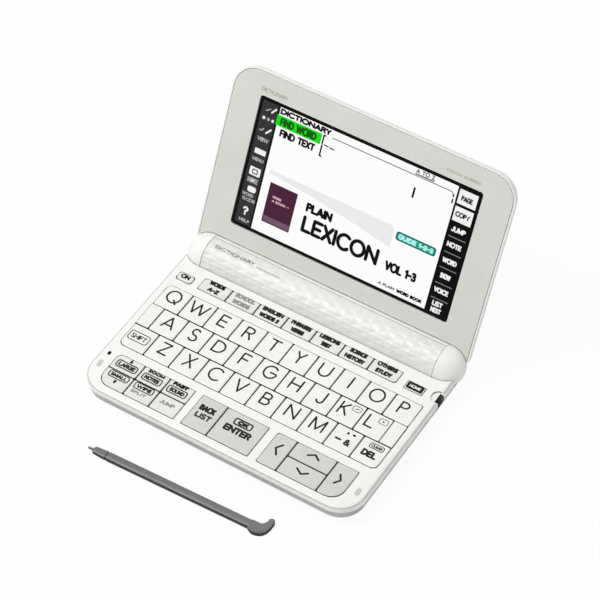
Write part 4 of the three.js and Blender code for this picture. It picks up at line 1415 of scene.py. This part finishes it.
@dataclass
class Screen:
    """The lit picture, in millimetres across and up the lid from the hinge's middle.

    A word is its letters, middle, width, height and line weight. A plate is its middle, width,
    height and corner radius, and a line is its weight and its points.
    """

    page: tuple[Mark, ...] = (
        shape((-47.3, 20.4), (46.2, 20.4), (46.2, 83.1), (-47.3, 83.1), tone=Tone.PAGE),
        shape(
            (-45, 50.2), (-20, 48.0), (4, 44.4), (22, 41.2), (22, 51), (20, 52), (-45, 52),
            tone=Tone.BAND,
        ),
        word("DICTIONARY", -33.4, 81.3, 27.0, 2.0, 0.9, Tone.BLACK),
        plate(-36.0, 76.55, 24.0, 5.3, tone=Tone.GREEN),
        word("FIND WORD", -36.2, 76.45, 19.5, 2.9, 1.0, Tone.LEAF),
        word("FIND TEXT", -35.4, 71.15, 18.8, 2.8, 0.95, Tone.BLACK),
        line(0.8, (-22.2, 79.0), (-23, 79.0), (-23, 74.8), tone=Tone.BLACK),
        line(0.8, (-22.9, 74.0), (-22.9, 68.8), (-22.1, 68.8), tone=Tone.BLACK),
        line(0.6, (-21.8, 74.6), (-19.7, 74.5), tone=Tone.BLACK),
        line(0.6, (-18.7, 74.4), (-16.6, 74.2), tone=Tone.BLACK),
        line(0.5, (-18.5, 79.4), (43.5, 79.4), (44.5, 78.6), tone=Tone.LINE),
        line(0.7, (44.8, 78.4), (44.8, 77.3), tone=Tone.BLACK),
        line(0.7, (45, 76), (45, 74.3), tone=Tone.BLACK),
        line(1.0, (26.2, 73.4), (26.2, 69.0), tone=Tone.BLACK),
        word("A TO Z", 29.5, 81.8, 9.6, 1.6, 0.55, Tone.LINE),
        line(0.5, (24.8, 80.2), (34.2, 80.2), tone=Tone.BLACK),
        plate(-35.75, 36.3, 14.9, 20.2, tone=Tone.PLUM),
        plate(-35.6, 28.15, 14.0, 2.7, tone=Tone.MAUVE),
        word("WORDS", -38.1, 39.9, 4.8, 0.8, 0.4, Tone.ROSE),
        word("A BOOK", -36.7, 37.9, 7.4, 0.8, 0.4, Tone.ROSE),
        line(0.5, (-32.2, 37.9), (-31.2, 37.9), tone=Tone.AMBER),
        word("PLAIN", -15.8, 42.5, 14.0, 3.3, 1.3, Tone.BLACK),
        word("LEXICON", -2.4, 34.0, 41.0, 6.6, 1.75, Tone.BLACK),
        word("VOL 1-3", 30.3, 32.5, 16.6, 3.5, 1.2, Tone.BLACK),
        word("A PLAIN", 25.4, 22.9, 8.6, 1.0, 0.5, Tone.LINE),
        word("WORD BOOK", 37.4, 22.9, 13.4, 1.1, 0.65, Tone.BLACK),
        plate(33.85, 48.4, 20.7, 4.4, 1.3, Tone.TEAL),
        plate(33.85, 48.4, 19.2, 3.0, 0.9, Tone.SEA),
        word("GUIDE 1-2-3", 33.85, 48.4, 18.2, 1.8, 0.75, Tone.CYAN),
    )
    left_bar: tuple[Mark, ...] = (
        shape((-56.6, 20.4), (-48.3, 20.4), (-48.3, 83.1), (-56.6, 83.1), tone=Tone.BAR),
        word("?", -52.2, 27.4, 2.9, 3.4, 0.9, Tone.BRIGHT),
        word("HELP", -51.7, 22.5, 5.6, 1.2, 0.45, Tone.SOFT),
        word("SIZE", -52.0, 33.2, 7.0, 1.2, 0.45, Tone.SOFT),
        word("WORD", -53.0, 35.6, 6.0, 1.2, 0.45, Tone.SOFT),
        plate(-51.7, 38.7, 4.4, 2.9, 1.0, Tone.BRIGHT),
        word("NOTE", -52.3, 43.1, 5.6, 2.0, 0.6, Tone.SOFT),
        line(0.8, (-52.8, 43.1), (-51.8, 43.1), tone=Tone.BRIGHT),
        plate(-52.2, 47.75, 5.7, 4.2, 0.4, Tone.BRIGHT),
        box(-52.2, 47.75, 2.6, 2.0, 0.5, Tone.OVER),
        word("MENU", -52.2, 54.0, 6.0, 1.3, 0.45, Tone.SOFT),
        plate(-52.0, 58.05, 5.9, 2.6, 0.3, Tone.BRIGHT),
        line(0.5, (-53.8, 58.0), (-52.4, 58.0), tone=Tone.SOFT),
        word("VIEW", -52.2, 64.3, 6.0, 1.5, 0.5, Tone.SOFT),
        line(0.7, (-52.9, 64.5), (-52.1, 64.5), tone=Tone.BRIGHT),
        line(0.8, (-51.5, 67.9), (-49.4, 70.3), tone=Tone.BRIGHT),
        line(0.7, (-55.0, 68.5), (-54.0, 68.5), (-53.2, 69.6), tone=Tone.SOFT),
        plate(-54.4, 74.8, 1.5, 1.5, 0.6, Tone.BRIGHT),
        plate(-51.9, 74.8, 1.5, 1.5, 0.6, Tone.SOFT),
        plate(-49.6, 74.8, 1.3, 1.5, 0.6, Tone.BRIGHT),
        line(0.6, (-54.0, 78.5), (-52.0, 80.0), tone=Tone.SOFT),
        line(0.8, (-51.0, 78.6), (-49.2, 80.9), tone=Tone.BRIGHT),
    )
    right_words: tuple[tuple[str, float, float, float], ...] = (
        ("PAGE", 51.7, 5.8, 78.5),
        ("COPY", 51.65, 7.3, 70.5),
        ("JUMP", 51.75, 7.3, 63.0),
        ("NOTE", 51.75, 7.3, 55.3),
        ("WORD", 51.75, 7.3, 47.2),
        ("SHOW", 51.75, 5.3, 39.6),
        ("VOICE", 51.75, 7.3, 32.0),
        ("LIST", 51.75, 5.3, 25.3),
        ("NEXT", 51.75, 5.3, 22.0),
    )
    right_letters: Point = (1.9, 0.6)
    white_cells: tuple[float, ...] = (78.9, 70.4)
    white_cell_x: float = 51.85
    white_cell_size: Point = (9.3, 7.1)
    separators: tuple[float, ...] = (59.1, 51.2, 43.3, 35.4, 27.7)
    separator_ends: Point = (47.8, 56.2)
    separator_weight: float = 0.45
    root: float = 0.01

    def right_bar(self) -> list[Mark]:
        """Gives the right toolbar: two light cells at the top and six dark ones under them.

        Returns:
            The marks.
        """
        size, tone = self.white_cell_size, Tone.BRIGHT
        cells = [plate(self.white_cell_x, y, *size, tone=tone) for y in self.white_cells]
        left, right = self.separator_ends
        weight, tone = self.separator_weight, Tone.LINE
        rules = [line(weight, (left, y), (right, y), tone=tone) for y in self.separators]
        words = []
        for text, x, width, y in self.right_words:
            tone = Tone.OVER if y > min(self.white_cells) else Tone.BRIGHT
            words.append(word(text, x, y, width, *self.right_letters, tone))
        return [*cells, *rules, *words]

    def build(self, face: Face) -> None:
        """Draws the whole picture on the panel's face.

        Args:
            face: the panel's front, with its origin on the hinge's axis.
        """
        picture = Print("screen", face, "lid", self.root)
        picture.add((*self.page, *self.left_bar, *self.right_bar()))
        picture.build()


@dataclass
class Lid:
    """The lid's shell, its bezel, and the panel with its picture."""

    tilt: float = 64.3
    panel_depth: float = 2.43
    bezel_depth: float = 2.23
    shell_edge: float = 0.25
    bezel_edge: float = 0.3
    panel_edge: float = 0.1
    panel_segments: int = 2
    bezel_words: tuple[Mark, ...] = (
        word("DICTIONARY", -51.8, 88.0, 14.0, 1.5, 0.4, Tone.PALE),
        word("TOUCH SCREEN", 46.9, 88.4, 17.6, 1.1, 0.3, Tone.PALE),
    )

    def face_at(self, depth: float) -> Face:
        """Gives a plane that runs up the lid, with its origin on the hinge's axis.

        Args:
            depth: how far it lies behind the axis, in millimetres.

        Returns:
            The plane's front.
        """
        angle = math.radians(self.tilt)
        up = Vector((0, math.cos(angle), math.sin(angle)))
        normal = Vector((0, -math.sin(angle), math.cos(angle)))
        origin = (Vector((0, *HINGE_AXIS)) - normal * depth) * MM
        return Face(origin, RIGHT, up)

    def build(self) -> None:
        """Makes the shell, the bezel, the panel, the picture and the bezel's faint words."""
        soften("lid_back_cover", SHELL, self.shell_edge)
        soften("lid_bezel", BEZEL, self.bezel_edge)
        soften("display_panel", GLASS, self.panel_edge, self.panel_segments)
        Screen().build(self.face_at(self.panel_depth))
        legend = Print("bezel_words", self.face_at(self.bezel_depth), "lid")
        legend.add(self.bezel_words)
        legend.build()


@dataclass
class Stylus:
    """The stylus that lies in front of the base."""

    edge: float = 0.1
    segments: int = 2
    upright: float = 0.55

    def build(self) -> None:
        """Makes the rod and its hooked head, with painted shade on the flanks."""
        flank_shade = Patch(STYLUS_SHADE, lambda _, normal: normal.z < self.upright)
        soften("stylus", STYLUS, self.edge, self.segments, patches=(flank_shade,))


@dataclass
class Studio:
    """Floor, backdrop light, lamps and camera. The floor and the lamps are placed in metres."""

    camera_at: tuple[float, float, float] = (418.04, -640.16, 942.58)
    azimuth: float = 32.52
    elevation: float = 49.352
    roll: float = -0.418
    lens: float = 159.07
    sensor: float = 36.0
    clip: Point = (0.05, 20.0)
    floor_size: float = 4.0
    floor_stops: tuple[tuple[float, str], ...] = ((0.3, "#f4f4f4"), (0.7, "#f2f2f2"))
    floor_grain: float = 25.0
    floor_detail: float = 2.0
    floor_roughness: float = 0.9
    floor_specular: float = 0.1
    floor_glow: float = 0.93
    white: str = "#ffffff"
    world_strength: float = 0.52
    lamps: tuple[tuple[str, tuple[float, float, float], float], ...] = (
        ("lamp_key", (-0.7, -0.5, 1.5), 14.5),
        ("lamp_rear", (0.5, 0.8, 1.5), 2.0),
    )
    lamp_width: float = 0.6

    def build(self) -> None:
        """Makes everything around the object."""
        self.build_camera()
        self.build_world()
        self.build_floor()
        self.build_lamps()
        bpy.context.scene.view_settings.view_transform = "Standard"

    def build_camera(self) -> None:
        """Stands the camera where the photograph was taken from."""
        turn, rise, roll = (math.radians(a) for a in (self.azimuth, self.elevation, self.roll))
        level = Vector((math.cos(turn), math.sin(turn), 0))
        flat = math.cos(rise)
        back = Vector((math.sin(turn) * flat, -math.cos(turn) * flat, math.sin(rise)))
        upright = back.cross(level)
        right = level * math.cos(roll) + upright * math.sin(roll)
        up = upright * math.cos(roll) - level * math.sin(roll)
        data = bpy.data.cameras.new("camera")
        data.lens = self.lens
        data.sensor_width = self.sensor
        data.clip_start, data.clip_end = self.clip
        camera = bpy.data.objects.new("camera", data)
        bpy.context.scene.collection.objects.link(camera)
        place = Matrix((right, up, back)).transposed().to_4x4()
        place.translation = Vector(self.camera_at) * MM
        camera.matrix_world = place
        bpy.context.scene.camera = camera

    def build_world(self) -> None:
        """Lights the room evenly. Where the room itself is seen or mirrored, it is white."""
        world = bpy.data.worlds.new("room")
        world.use_nodes = True
        tree = world.node_tree
        tree.nodes.clear()
        rays = add_node(tree, "ShaderNodeLightPath").outputs
        seen = rays["Is Camera Ray"]
        for ray in ("Is Transmission Ray", "Is Glossy Ray"):
            either = {0: seen, 1: rays[ray]}
            seen = add_node(tree, "ShaderNodeMath", either, operation="MAXIMUM").outputs[0]
        soft, plain = (
            add_node(tree, "ShaderNodeBackground", {"Color": linear(self.white), "Strength": s})
            for s in (self.world_strength, 1.0)
        )
        either = {0: seen, 1: soft.outputs["Background"], 2: plain.outputs["Background"]}
        mixed = add_node(tree, "ShaderNodeMixShader", either)
        add_node(tree, "ShaderNodeOutputWorld", {"Surface": mixed.outputs["Shader"]})
        bpy.context.scene.world = world

    def floor_material(self) -> bpy.types.Material:
        """Makes the floor's matt paint: pale, all but white to the camera, and it keeps shadows.

        Returns:
            The material.
        """
        material = bpy.data.materials.new("floor_pale")
        material.use_nodes = True
        tree = material.node_tree
        tree.nodes.clear()
        rays = add_node(tree, "ShaderNodeLightPath").outputs
        shown = {0: rays["Is Camera Ray"], 1: self.floor_glow}
        seen = add_node(tree, "ShaderNodeMath", shown, operation="MULTIPLY").outputs[0]
        clouds = {"Scale": per_mm(self.floor_grain), "Detail": self.floor_detail}
        grain = add_node(tree, "ShaderNodeTexNoise", clouds).outputs["Fac"]
        tone = add_node(tree, "ShaderNodeValToRGB", {"Fac": grain}, self.floor_stops)
        paint = {
            "Base Color": tone.outputs["Color"],
            "Roughness": self.floor_roughness,
            "Specular IOR Level": self.floor_specular,
        }
        matt = add_node(tree, "ShaderNodeBsdfPrincipled", paint)
        glow = add_node(tree, "ShaderNodeEmission", {"Color": linear(self.white), "Strength": 1.0})
        either = {0: seen, 1: matt.outputs["BSDF"], 2: glow.outputs["Emission"]}
        mixed = add_node(tree, "ShaderNodeMixShader", either)
        add_node(tree, "ShaderNodeOutputMaterial", {"Surface": mixed.outputs["Shader"]})
        return material

    def build_floor(self) -> None:
        """Lays a pale floor, which looks white to the camera and keeps a soft shadow."""
        half = self.floor_size / 2
        mesh = bpy.data.meshes.new("floor")
        corners = [(-half, -half, 0), (half, -half, 0), (half, half, 0), (-half, half, 0)]
        mesh.from_pydata(corners, [], [(0, 1, 2, 3)])
        mesh.materials.append(self.floor_material())
        floor = bpy.data.objects.new("floor", mesh)
        bpy.context.scene.collection.objects.link(floor)

    def build_lamps(self) -> None:
        """Hangs two soft lamps: a key light above on the left, and a weak one behind."""
        for name, place, power in self.lamps:
            data = bpy.data.lights.new(name, "AREA")
            data.shape = "DISK"
            data.size = self.lamp_width
            data.energy = power
            lamp = bpy.data.objects.new(name, data)
            bpy.context.scene.collection.objects.link(lamp)
            lamp.location = place
            lamp.rotation_euler = (-Vector(place)).to_track_quat("-Z", "Y").to_euler()


def main() -> None:
    """Builds the scene in order."""
    logging.basicConfig(level=logging.INFO, format="%(message)s")
    parts: Iterable[Studio | Base | Hinge | Keyboard | Lid | Stylus] = (
        Studio(),
        Base(),
        Hinge(),
        Keyboard(),
        Lid(),
        Stylus(),
    )
    for part in parts:
        LOG.info("building the %s", type(part).__name__.lower())
        part.build()


if __name__ == "__main__":
    main()
